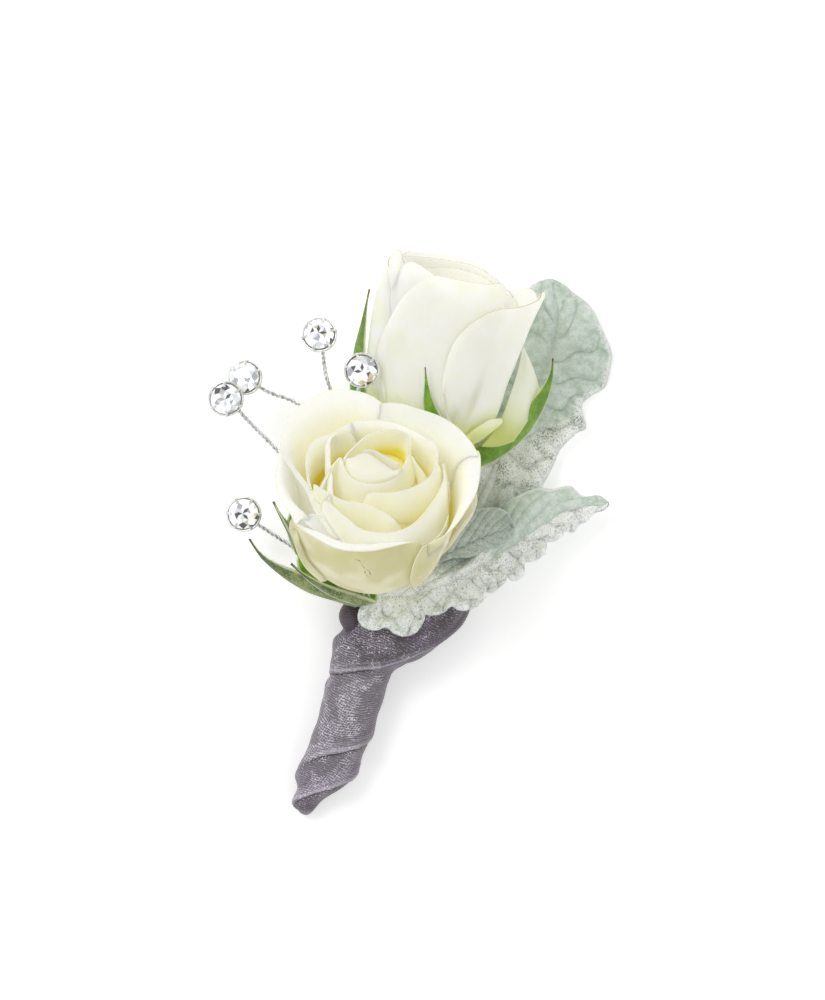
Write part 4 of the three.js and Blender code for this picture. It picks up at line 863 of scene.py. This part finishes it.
lower_right = [
    [-8.4, -12.8, 14], [-9.8, -14.2, 13.9], [-10.7, -16, 13.9], [-10.5, -17.6, 13.8], [-9.4, -18.8, 13.8],
    [-7.1, -19.3, 14], [-5.2, -18.7, 14.4], [-3.5, -19.9, 13.9], [-1.6, -20.5, 13.7], [0.6, -19.9, 13.8],
    [2, -18.2, 14], [2, -16.4, 14.4], [0.7, -14.2, 14.9], [2.9, -16.1, 14.4], [4.3, -16.3, 14.5],
    [6.4, -15.7, 14.5], [8, -14.5, 14.6], [9.6, -15.3, 13.9], [11.6, -15.2, 13.5], [13.4, -14.2, 13],
    [14.9, -12.2, 12.8], [12.5, -9.7, 13.6], [15.6, -11.8, 12.3], [18.4, -10, 10.9], [18.9, -8.6, 11.2],
    [17.8, -7.4, 11.8], [20.2, -9.3, 10.2], [22.2, -8.6, 9.6], [22.6, -6.6, 9.9], [21.8, -5.6, 10.4],
    [24, -5.6, 8.8], [25.6, -4.9, 8], [26.9, -3.6, 7.6], [26.6, -1.7, 8.2], [28.4, -1.5, 7.2],
    [30.1, -0.6, 6.4], [30.9, 0.6, 6.8], [32.5, 0.4, 6], [33.9, 2, 6.4], [35.2, 2.6, 6.2],
    [36.7, 4.2, 6], [38.4, 4.8, 6], [39.7, 6, 6],
]
lower_left = [
    [-7, -11.4, 14], [-3, -9, 13.6], [1.7, -7, 12.8], [8.1, -4.2, 10.2], [13.9, -2.8, 8.8], [17.4, 0, 8.4],
    [18.4, 3.4, 7.9], [19.4, 6.2, 7.6], [22.2, 7.9, 7.4], [25.3, 9.1, 7.2], [28.4, 8.8, 7.4],
    [31.9, 9.4, 7], [34.5, 7.4, 7.2], [37.7, 7.6, 6.6], [39.7, 6, 6],
]
folded_lobe = dict(
    rib=[
        [1.4, -8.2, 13.6], [5, -5.6, 13], [9.6, -3, 12.6], [14, -0.9, 12.2], [18, 0.6, 11.8],
        [20.2, 1.5, 11.4],
    ],
    right=[
        [1.4, -8.2, 13.6], [4.6, -6, 12.8], [8.3, -4.6, 12.6], [10.9, -4.7, 12.5], [13.9, -4.3, 12.3],
        [16.5, -3.4, 11.9], [18.5, -1.9, 11.6], [19.8, -0.2, 11.4], [20.2, 1.5, 11.4],
    ],
    left=[
        [1.4, -8.2, 13.6], [3.6, -2, 12.2], [6, 1.4, 11.6], [10, 3.8, 11.4], [14, 5, 11.2], [17.2, 5.2, 11],
        [19, 4.4, 11.1], [20, 3.1, 11.3], [20.2, 1.5, 11.4],
    ],
)
lower_stalk = [
    [4, -10.8, 14.2], [-1, -11.4, 13.8], [-4.2, -11.6, 12.5], [-5.6, -14.6, 10.3], [-6.6, -21, 9],
    [-8.2, -29, 8.6], [-10.6, -37, 8.3],
]


def add_leaf(
    heap, random, rib, left, right, wave, frill, curl, felted, speckled, bare, hairs, across=84, up=300,
):
    """Adds a blade that spreads from its rib to its left and right outlines, quilted between its veins.

    Its right edge is frilled. Wave, felted and bare are functions of the place: how far the
    blade rises, how thick its down is and how much painted shade darkens it.
    rises, and how thick and how thin its down is.
    """
    u = np.linspace(-1, 1, across + 1)[None, :]
    v = np.linspace(0, 1, up + 1)
    out = np.abs(u)
    middle = row_curve(rib, v)[:, None]
    edge = np.where(u[..., None] < 0, row_curve(left, v)[:, None], row_curve(right, v)[:, None])
    grid = middle + (edge - middle) * out[..., None]
    x, y = grid[..., 0], grid[..., 1]
    grid[..., 2] = middle[..., 2] + (edge - middle)[..., 2] * out**2 + wave(x, y) * np.sin(0.9 * math.pi * out)
    length = lengths(edge[:, -1])[:, None]
    band = smooth(0.45, 1, out) * (u > 0)
    ruffle = np.sin(2 * math.pi * length / FRILL_LENGTH + 2.2 * np.sin(length * 0.37) + 1.5 * out)
    ruffle = ruffle + 0.45 * np.sin(length * 2.7 + 3 * out)
    grid[..., 2] += (frill * np.clip(ruffle, -0.7, 2) + curl) * band
    veined = VEINS * (v[:, None] - 0.15 * out**1.2) + 0.12 * np.sin(x * 0.9) + 0.5 * (u > 0)
    groove = np.abs((veined + 0.5) % 1 - 0.5) * 2
    side_vein = np.exp(-((groove / 0.24) ** 2)) * smooth(0.02, 0.12, out) * (1 - smooth(0.75, 1, out))
    # Painted shade darkens the valleys between the frills; like the veins, they also sink a little.
    crease_shade = 1.3 * smooth(0.35, 1.3, -ruffle) * band * min(1.4 * frill, 1)
    vein = np.maximum(np.maximum(side_vein, np.exp(-((u * 16) ** 2))), crease_shade)
    quilt = np.sqrt(groove) * smooth(0, 0.2, out) * smooth(1, 0.8, out)
    dents = 0.12 * np.sin(x * 1.7 + 1.3 * np.sin(y)) * np.sin(y * 1.4)
    grid[..., 2] += QUILT_HEIGHT * quilt - VEIN_DEPTH * vein - dents
    vertices, faces, _ = blade(grid, LEAF_RIM + (LEAF - LEAF_RIM) * smooth(0, 0.12, 1 - out))
    heap.add(
        vertices, faces, edge=both_sides(1 - smooth(0, 0.07, 1 - out), grid), vein=both_sides(vein, grid),
        felted=both_sides(felted(x, y, u), grid), speckled=speckled, bare=both_sides(bare(x, y, u), grid),
    )
    add_hairs(heap, grid, random, **hairs, **WOOL, edge=1, felted=1)


# The leaf glows faintly in its own colour: painted light that brightens the whole leaf.
finish = Finish(
    "felted_leaf", Emission_Strength=0.05, Roughness=0.95, Sheen_Weight=0.3, Sheen_Roughness=0.6,
    Specular_IOR_Level=0.15,
)
cloud, mottle, patches = finish.noise(8, 2), finish.noise(1.6, 4, roughness=0.7), finish.noise(3, 2)
grain, speck = finish.noise(0.26, 2, roughness=0.6), finish.noise(0.36, 3, roughness=0.7)
edge = finish.read("edge")
specks = (speck + 0.5 * (patches - 0.5)).held(0.56, 0.65)
felt = finish.coats(
    colour(206, 216, 205), (grain.held(0.32, 0.54), colour(254, 255, 253)),
    (specks * (1 - 0.7 * edge) * finish.read("speckled"), colour(112, 136, 112)),
)
# shade_tone is a darker green-grey painted where the blade lies in shade; the veins darken the skin, and so
# does painted shade in the valleys between the frills.
shade_tone = finish.coats(colour(126, 142, 130), (speck.held(0.4, 0.6), colour(190, 202, 192)))
cover = (finish.read("felted") + 0.5 * (mottle - 0.5)).held(0.3, 0.62)
skin = finish.coats(
    colour(188, 204, 190), (mottle.held(0.36, 0.66), colour(224, 233, 225)),
    (cloud.held(0.35, 0.65) * 0.3, colour(228, 234, 228)),
    (grain.held(0.35, 0.65) * 0.3, colour(166, 184, 168)), (cover, felt),
    (finish.read("vein") * 0.36, colour(142, 160, 145)),
    (finish.read("bare"), shade_tone), (edge * (0.5 + 0.6 * grain), colour(240, 243, 238)),
)
pile = finish.relief(mottle * 0.3 + cover * (grain - 0.5 * specks), 0.12)
felted_leaf = finish.done(Base_Color=skin, Emission_Color=skin, Normal=pile)


def upper_felted(x, y, u):
    """Thick felt on the lower lobes, thinner over the top of the blade."""
    low = smooth(27, 14, y - 0.25 * x + 5) * smooth(3, 8, y)
    return np.clip(0.85 * low + 0.5 * smooth(0.72, 0.98, np.abs(u)), 0, 1)


def lower_felted(x, y, u):
    """Thick felt along the frilled lower edge, thin where the blade is hollow."""
    along_edge = 0.9 * smooth(-0.15, 0.25, u) + 0.4 * smooth(0.9, 1, np.abs(u))
    return np.clip(0.12 + along_edge + 0.9 * smooth(19, 11, x), 0, 1)


def lower_painted_shadow(x, y, u):
    """Painted shadow under the folded lobe."""
    return 0.9 * smooth(-0.25, -0.5, u) * smooth(5, 8, x) * smooth(21, 16, x)


# Each leaf: its stalk and its blades, the second one of the lower leaf folded over the first
# Painted shade darkens the upper blade towards its low end, the lower blade under the folded lobe and the
# whole folded lobe.
leaves = {
    "upper": (upper_stalk, [dict(
        rib=upper_rib, left=upper_left, right=upper_right, frill=0.45, curl=0.4, felted=upper_felted,
        wave=lambda x, y: 0.35 * np.sin(0.55 * x + 0.4 * y), speckled=0.75,
        bare=lambda x, y, u: 0.5 * smooth(12, 5, y), hairs=dict(each=2200, length=0.45),
    )]),
    "lower": (lower_stalk, [dict(
        rib=lower_rib, left=lower_left, right=lower_right, frill=0.75, curl=0.9, felted=lower_felted,
        wave=lambda x, y: 0.5 * np.sin(0.7 * x - 0.5 * y), speckled=0.4,
        bare=lower_painted_shadow, hairs=dict(each=2200, length=0.45),
    ), dict(
        **folded_lobe, frill=0.1, curl=0, across=50, up=90,
        wave=lambda x, y: 0.15 * np.sin(x + y), speckled=1, bare=lambda x, y, u: 0.65,
        felted=lambda x, y, u: 0.5 + 0.5 * smooth(0.9, 1, np.abs(u)), hairs=dict(each=500, length=0.4),
    )]),
}
random = np.random.default_rng(11)
for name, (stalk, blades) in leaves.items():
    heap = Heap()
    heap.add(*tube(spline(stalk, 60), STALK_R), edge=0.3, felted=0.5)
    for parts in blades:
        add_leaf(heap, random, **parts)
    for vertices in heap.vertices:
        vertices[:, 2] = np.maximum(vertices[:, 2], 0)
    heap.piece(f"{name}_felted_leaf", felted_leaf, "felted_leaf", f"leaf_{name}")

# Rhinestones: round brilliants with a foiled back, each in a stamped silver cup whose six claws are
# bent in over its girdle, on a stalk of two silver wires twisted together.
STONE_R = 2.9
# How much further the cut girdle reaches, over the gap to the cup
STONE_PROUD = 0.14
CUP_R = STONE_R + 0.3
CUP_WALL = 0.35
CUP_DEPTH = 1.34 * STONE_R
CUP_PROFILE = [
    [0.01, -CUP_DEPTH], [0.6, -CUP_DEPTH], [0.6, -1.1 * STONE_R], [0.42 * STONE_R + 0.5, -0.86 * STONE_R],
    [CUP_R + CUP_WALL, -0.4 * STONE_R], [CUP_R + CUP_WALL, -0.16 * STONE_R], [CUP_R, -0.12 * STONE_R],
    [CUP_R, -0.3 * STONE_R], [0.32 * STONE_R, -0.78 * STONE_R], [0.01, -STONE_R],
]
CLAWS = 6
CLAW_R = 0.34
CLAW_BEND = 0.95
STRAND_R = 0.24
COIL_R = 0.22
WIRE_NECK = 1.4
WIRE_STEP = 0.22
TWIST = 2.1
# Each stone: where its middle is, the way it faces and its wire's route down into the handle
stones = [
    ([-18.5, 40, 20], [-0.1, 0.25, 1], [
        [-17.2, 32, 15.6], [-15.7, 26.6, 13.6], [-14.3, 16, 10.6], [-13.4, 4, 7.6], [-12.4, -8, 6.4],
        [-12, -14, 6], [-12.6, -21, 5.2], [-14.2, -29.5, 4.6],
    ]),
    ([-33.5, 31.4, 17.5], [-0.25, 0.1, 1], [
        [-29, 28.6, 14.4], [-21.5, 25, 12.6], [-17, 15, 10], [-14.8, 3.4, 8.4], [-13.2, -8, 7.8],
        [-12, -14, 7.4], [-12.6, -21, 6.6], [-14.2, -29.5, 6],
    ]),
    ([-37.1, 27, 22], [-0.1, -0.1, 1], [
        [-33.4, 23.4, 17.6], [-25.9, 15.6, 14.4], [-19.4, 7, 11.4], [-15.6, -2.4, 9.4],
        [-12.4, -9.6, 8.8], [-10.5, -14, 8.3], [-11.2, -21, 7.8], [-12.8, -29.5, 7.8],
    ]),
    ([-9.9, 32.6, 24], [0.05, -0.15, 1], [
        [-10.6, 28.8, 18.8], [-10.4, 25, 16.6], [-11.4, 16, 11.6], [-12.2, 5, 6.2], [-12, -6, 4.8],
        [-12, -14, 4.6], [-12.8, -21, 3.8], [-14.2, -29.5, 3.2],
    ]),
    ([-33.7, 4, 15], [-0.15, 0.05, 1], [
        [-30.4, 1.6, 11.6], [-24.3, -2.4, 10.8], [-19, -6.4, 9.6], [-14.8, -10.6, 9], [-12, -14, 8.8],
        [-12.6, -21, 8], [-14.2, -29.5, 7.4],
    ]),
]


def ring(radius, height, count, turn=0.0):
    """Places round the stone's own upright axis."""
    angles = round_steps(count) + turn * 2 * math.pi / count
    return np.stack([radius * np.cos(angles), radius * np.sin(angles), np.full(count, float(height))], 1)


def brilliant():
    """The facets of a round brilliant, each with its own corners so that it takes its own shade."""
    r = STONE_R + STONE_PROUD
    top, point = np.array([0, 0, 0.32 * r]), np.array([0, 0, -0.86 * r])
    inner, table = ring(0.3 * r, 0.32 * r, 8, 0.5), ring(0.56 * r, 0.32 * r, 8)
    crown, pavilion = ring(0.8 * r, 0.19 * r, 8, 0.5), ring(0.25 * r, -0.66 * r, 8, 0.5)
    upper, lower = ring(r, 0.03 * r, 16), ring(r, -0.03 * r, 16)
    facets = []
    for i in range(8):
        after, before = (i + 1) % 8, (i + 7) % 8
        corner, middle, next_corner = 2 * i, 2 * i + 1, (2 * i + 2) % 16
        facets += [
            [top, inner[before], table[i], inner[i]], [inner[i], table[i], table[after]],
            [table[i], crown[i], table[after]], [table[i], crown[before], upper[corner], crown[i]],
            [crown[i], upper[corner], upper[middle]], [crown[i], upper[middle], upper[next_corner]],
            [lower[corner], pavilion[before], pavilion[i]], [lower[corner], pavilion[i], lower[middle]],
            [lower[middle], pavilion[i], lower[next_corner]], [pavilion[i], point, pavilion[after]],
        ]
    facets += [[upper[i], lower[i], lower[(i + 1) % 16], upper[(i + 1) % 16]] for i in range(16)]
    return facets


def standing(at, facing, points):
    """Points of a stone's own frame, moved to where the stone sits."""
    up = unit(facing)
    right = unit(np.array([1, 0, 0]) - up[0] * up)
    return np.asarray(points) @ np.stack([right, np.cross(up, right), up]) + np.asarray(at, float)


def silver(name, mottling, start, bright, dull, shine, uneven):
    """Silver with a light tarnish."""
    finish = Finish(name)
    tarnish = finish.noise(mottling, 3)
    return finish.done(
        Base_Color=finish.coats(bright, (tarnish.held(start, 0.7), dull)), Roughness=shine + uneven * tarnish,
        Metallic=0.75 + 0.2 * tarnish,
    )


# Each facet is painted one flat tone, mostly white with some greys and a few near black, for what it reflects,
# and the stone glows faintly in that tone: painted reflections and painted light.
finish = Finish("rhinestone", Roughness=0.06, Emission_Strength=0.25, Specular_IOR_Level=0.8)
fire = finish.read("fire")
reflection_tones = [
    (0.0, (86, 88, 92)), (0.12, (168, 172, 176)), (0.26, (244, 246, 248)), (0.45, (214, 218, 222)),
    (0.58, (252, 252, 252)), (0.93, (206, 196, 172)),
]
shade = finish.node("ValToRGB", {"flat_stops": [(start, colour(*tone)) for start, tone in reflection_tones]}, {0: fire})
rhinestone = finish.done(Base_Color=shade, Emission_Color=shade, Metallic=0.2 + 0.3 * fire)
silver_cup = silver("silver_cup", 1.2, 0.4, colour(244, 244, 244), colour(214, 212, 206), 0.2, 0.22)
silver_wire = silver("silver_wire", 0.8, 0.35, colour(240, 240, 242), colour(196, 196, 198), 0.22, 0.25)

random = np.random.default_rng(3)
for number, (*seat, wire) in enumerate(stones, 1):
    heap = Heap()
    for facet in brilliant():
        heap.add(standing(*seat, facet), [range(len(facet))], fire=random.uniform(0, 1))
    heap.piece(f"rhinestone_{number}", rhinestone, "rhinestone", f"stone_{number}", shaded_smooth=False)

    heap = Heap()
    heap.add(*round_body(standing(*seat, [ring(radius, height, 36) for radius, height in CUP_PROFILE])))
    t = np.linspace(0, 1, 7)
    reach = CUP_R + CUP_WALL / 2 - CLAW_BEND * smooth(0.45, 1, t)
    for turn in round_steps(CLAWS) + 0.2 * number:
        path = np.stack([reach * math.cos(turn), reach * math.sin(turn), STONE_R * (-0.2 + 0.46 * t)], 1)
        heap.add(*tube(standing(*seat, path), CLAW_R * (1 - 0.3 * t), 8))
    heap.piece(f"claw_cup_{number}", silver_cup, "silver_cup", f"cup_{number}")

    route = [*standing(*seat, [[0, 0, -CUP_DEPTH], [0, 0, -CUP_DEPTH - WIRE_NECK]]), *wire]
    length = lengths(spline(route, 200))[-1]
    steps = int(length / WIRE_STEP)
    path = spline(route, steps)
    tangent = unit(np.gradient(path, axis=0))
    side = unit(np.cross(tangent, [0.1, 0.2, 1]))
    heap = Heap()
    for start in (0, math.pi):
        phase = 2 * math.pi * np.linspace(0, length / TWIST, steps)[:, None] + start
        coil = path + COIL_R * (np.cos(phase) * side + np.sin(phase) * np.cross(tangent, side))
        heap.add(*tube(coil, STRAND_R, 6))
    heap.piece(f"twisted_wire_{number}", silver_wire, "silver_wire", f"wire_{number}")

# Ribbon: mauve-grey satin with a fine glittering rib, wound round the handle in overlapping turns
# from the mouth to the folded tip. The lower hem of each turn is folded in and stands proud of the next.
# Stations down the handle: X and Y of its left side, X and Y of its right side, and its height
stations = [
    [-13.2, -14.4, 11.4, -14.8, 13], [-13.6, -18.6, 9.8, -18.4, 12.9], [-15.6, -21.2, 6.4, -21.8, 12.7],
    [-16, -25, 1.4, -25.2, 12.3], [-16, -27.8, -3.4, -27.4, 11.8], [-17.4, -30.4, -4.7, -30, 11.4],
    [-18.3, -35.2, -6.5, -35.6, 11], [-20, -40.4, -8.5, -41, 10.6], [-21.9, -45.2, -10, -44.8, 9.9],
    [-23.3, -48.6, -11.8, -49, 8.8], [-23, -51.4, -14.4, -51.4, 7.4], [-23.5, -54.2, -18, -53.8, 5.6],
    [-22.7, -56, -20, -56, 4], [-21.8, -56.8, -20.9, -56.8, 2.4],
]
RIBBON = 0.8
# Share of the height where the wound handle is widest, and how round its section is
WIDEST_AT = 0.46
FULLNESS = 0.8
RIB_APART = 0.5
RIB = 2 * math.pi / RIB_APART
# Which way lies across the rib on each of the three turns
RIB_WAYS = [(0.42, 0.9), (0.2, 0.97), (0.5, 0.86)]
RIB_RELIEF = 0.02
# Where the hem runs: half turns round the handle from its right side, and the number of the station
HEM = [
    [-1, -2], [0, 0.3], [0.18, 2.3], [0.42, 3.8], [0.7, 4.15], [1, 4.1], [1.5, 5.4], [2, 7], [2.3, 7.55],
    [2.6, 7.9], [3, 8.6], [3.5, 8.8], [4, 8.9], [4.3, 9.6], [4.6, 10.5], [5, 11.2], [6, 14],
]
# How far past its hem a turn still reaches over the next, and how the hem stands proud and sinks away
HEM_REACH = 0.3
HEM_LIFT = 0.55
HEM_SINKS = 3.5
HEM_FOLD = 0.14
AROUND, ALONG, WALL_ROWS = 216, 380, 30


def wrap_grid(inset, along):
    """The wound surface as a grid round and along the handle, before the turns' own relief."""
    lx, ly, rx, ry, height = row_curve(stations, np.linspace(0, 1, along + 1)).T
    left, right = np.stack([lx, ly], 1), np.stack([rx, ry], 1)
    half = np.maximum(np.linalg.norm(right - left, axis=1) / 2 - inset, 0.1)
    wide, tall = (np.sign(way) * np.abs(way) ** FULLNESS for way in (np.cos(angle), np.sin(angle)))
    plan = ((left + right) / 2)[:, None] + (half[:, None] * wide)[..., None] * unit(right - left)[:, None]
    z = np.maximum(inset, WIDEST_AT * height[:, None] + ((1 - WIDEST_AT) * height[:, None] - inset) * tall)
    return np.concatenate([plan, z[..., None]], 2)


angle = round_steps(AROUND)
t = np.linspace(0, 1, ALONG + 1)
outer = wrap_grid(0, ALONG)
x, y, z = outer[..., 0], outer[..., 1], outer[..., 2]
length = lengths(outer.mean(axis=1))
# For each place: which turn it lies on, how far ahead its own hem is and how far back the last one
to_hem, past_hem, turn = np.full(x.shape, 30.0), np.full(x.shape, 30.0), np.zeros(x.shape)
for k in range(3):
    station = np.interp(angle / math.pi + 2 * k, *np.transpose(HEM))
    hem_at = np.interp(station / (len(stations) - 1), t, length, left=-9, right=90)
    ahead = hem_at[None, :] - length[:, None]
    nearer = (ahead > -HEM_REACH) & (ahead < to_hem)
    to_hem, turn = np.where(nearer, ahead, to_hem), np.where(nearer, k, turn)
    past_hem = np.where(ahead < -0.1, np.minimum(past_hem, -ahead), past_hem)
half_turns = angle[None, :] / math.pi + 2 * turn
# The hem all but goes at the left of the second turn, where that lies flat on the first
fading = 1 - 0.85 * smooth(2.55, 2.8, half_turns) * smooth(3.6, 3.2, half_turns)
in_hem = fading * (np.exp(-(((to_hem - 0.75) / 0.5) ** 2)) + 0.4 * np.exp(-(((to_hem - 2.1) / 0.35) ** 2)))
lift = HEM_LIFT * fading * np.exp(-np.maximum(to_hem, 0) / HEM_SINKS) * smooth(-HEM_REACH, 0.1, to_hem)
across_rib = np.choose(turn.astype(int), [a * x + b * y for a, b in RIB_WAYS])
across_rib = across_rib + 0.6 * np.sin(0.35 * x - 0.3 * y + turn) + 0.12 * np.sin(1.9 * x + y) + 0.3 * z
folds = 0.09 * np.sin(1.1 * to_hem + 0.5 * np.sin(0.5 * x + turn))
folds = folds + 0.05 * np.sin(1.4 * x - 0.9 * y + 2 * turn)
normal = unit(np.cross(np.roll(outer, -1, 1) - np.roll(outer, 1, 1), np.gradient(outer, axis=0)))
relief = lift + HEM_FOLD * in_hem + folds + RIB_RELIEF * np.sin(across_rib * RIB)
shown = outer + normal * (relief * smooth(1.0, 0.9, t)[:, None])[..., None]
shown[..., 2] = np.maximum(shown[..., 2], 0.0)
wall = wrap_grid(RIBBON, WALL_ROWS)[int(0.9 * WALL_ROWS)::-1]
shade = 1.1 * fading * np.exp(-past_hem / 0.6)
shade = shade + 0.35 * smooth(0.66, 0.98, (np.cos(angle) + 1) / 2) * (np.sin(angle) > -0.3)
shade = np.clip(np.maximum(shade, 0.6 * smooth(2.6, 0, length)[:, None]), 0, 0.8)


def dashes(rib, lengthwise, across):
    """Short bright dashes of metal thread along a rib."""
    broken = finish.streaks(finish.read(lengthwise) * 1.1, finish.read(across) * 0.45, 1, 2)
    return rib.held(-0.1, 0.9) * broken.held(0.44, 0.6)


finish = Finish("ribbon", Roughness=0.4, Sheen_Weight=0.2, Sheen_Roughness=0.4)
rib, crossing = finish.read("rib").maths("SINE"), finish.read("crossing").maths("SINE")
spark, cloud, second = finish.noise(0.3, 2), finish.noise(4.5, 2), finish.read("second")
lit = finish.read("lit").held(0.2, 0.9)
glitter = dashes(rib, "run", "rib") * (0.4 + 0.9 * cloud.held(0.36, 0.62))
glitter = (glitter + dashes(crossing, "rib", "crossing") * cloud.held(0.42, 0.56) * second).held(0, 1)
glint = spark.held(0.6, 0.67) * lit * (0.3 + cloud.held(0.35, 0.6))
# The glitter dashes are real metal thread, painted brighter where the cloth faces up and to the left; the hem
# ridges carry a painted highlight, and the glints are painted highlights.
cloth = finish.coats(
    colour(88, 81, 87), (cloud.held(0.3, 0.7), colour(124, 116, 127)), (second * 0.55, colour(152, 144, 156)),
    (finish.noise(9, 2).held(0.45, 0.6) * 0.4, colour(120, 98, 124)),
    ((1 - rib.held(-0.95, 0.2)) * (0.3 + 0.3 * cloud), colour(74, 66, 73)),
    (glitter * (0.14 + 0.66 * lit) * (0.5 + 0.5 * second), colour(228, 222, 234)),
    (finish.read("hem_highlight") * (0.4 + 0.4 * spark), colour(206, 198, 214)),
    (finish.read("shade"), colour(70, 61, 63)), (glint, colour(244, 241, 250)),
)
ribbon_satin = finish.done(
    Base_Color=cloth, Roughness=0.48 - 0.25 * glint, Metallic=0.15 + 0.3 * glitter,
    Normal=finish.relief(rib * 0.4 + spark, 0.12),
)
heap = Heap()
values = dict(
    rib=across_rib * RIB, run=x * 0.95 - y * 0.3, crossing=(0.8 * x - 0.6 * y) * RIB, second=turn > 0,
    hem_highlight=in_hem, lit=np.clip(normal[..., 2] - 0.25 * normal[..., 0], 0, 1), shade=shade,
)
inside = np.zeros(wall.shape[0] * AROUND)
values = {name: np.concatenate([inside, value.ravel()]) for name, value in values.items()}
heap.add(*round_body(np.concatenate([wall, shown])), **values)
# The rounded fold at the upper left, where the ribbon's first end is tucked in
fold = row_curve(
    [[-10.6, -20, 8.6], [-12.1, -17.6, 9.6], [-12.1, -15.6, 9.6], [-10.8, -13.4, 8.4]], np.linspace(0, 1, 30),
)
points, faces, ends = tube(fold, 0.5 + 1.85 * np.sin(np.linspace(0.05, math.pi - 0.05, 30)) ** 0.7, 28)
heap.add(points, faces, ends, rib=points[:, 1] * RIB, run=points[:, 0], lit=0.1, shade=0.6)
heap.piece("wound_ribbon", ribbon_satin, "ribbon", "ribbon_wrap")

# Floral tape: the waxed paper tape that binds stems, stalks and wires into one core inside the
# ribbon. It keeps its solid and takes the creped green finish.
finish = Finish("floral_tape", Roughness=0.6)
crepe = finish.noise(0.6, 3, stretch=(1, 0.25, 1))
tape = finish.coats(colour(62, 78, 40), (crepe.held(0.35, 0.7), colour(104, 122, 70)))
floral_tape = finish.done(Base_Color=tape, Normal=finish.relief(crepe, 0.15))
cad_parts["floral_tape"].material_slots[0].material = floral_tape

# The table and the light: a plain pale floor, a broad soft light from the upper left and white
# light from all round, as in the photograph.
bpy.context.scene.view_settings.view_transform = "Standard"
finish = Finish("pale_floor", Roughness=0.8, Emission_Strength=0.28)
floor_tone = finish.coats((0.98, 0.98, 0.98), (finish.noise(60, 2) * 0.1, (0.96, 0.96, 0.965)))
pale_floor = finish.done(Base_Color=floor_tone, Emission_Color=floor_tone)
floor_mesh = bpy.data.meshes.new("floor")
floor_mesh.from_pydata([(-2, -2, 0), (2, -2, 0), (2, 2, 0), (-2, 2, 0)], [], [(0, 1, 2, 3)])
floor_mesh.materials.append(pale_floor)
# A hair lower than the part's flat face, so that the two don't flicker through each other
floor = put_in_scene("floor", floor_mesh, (0, 0, -0.00005))

world = bpy.data.worlds.new("soft_white")
world.use_nodes = True
sky = world.node_tree.nodes["Background"].inputs
sky["Color"].default_value, sky["Strength"].default_value = (1, 1, 1, 1), 0.68
bpy.context.scene.world = world


def soft_light(name, place, size, power):
    """A round soft light that looks at the middle of the table."""
    data = bpy.data.lights.new(name, "AREA")
    data.shape = "DISK"
    data.size, data.energy = size, power
    lamp = put_in_scene(name, data, place)
    lamp.rotation_euler = (-Vector(place)).to_track_quat("-Z", "Y").to_euler()


soft_light("window_light", (-0.5, 0.45, 0.95), 0.5, 3.3)
soft_light("fill_light", (0.5, -0.4, 0.9), 0.9, 1.0)
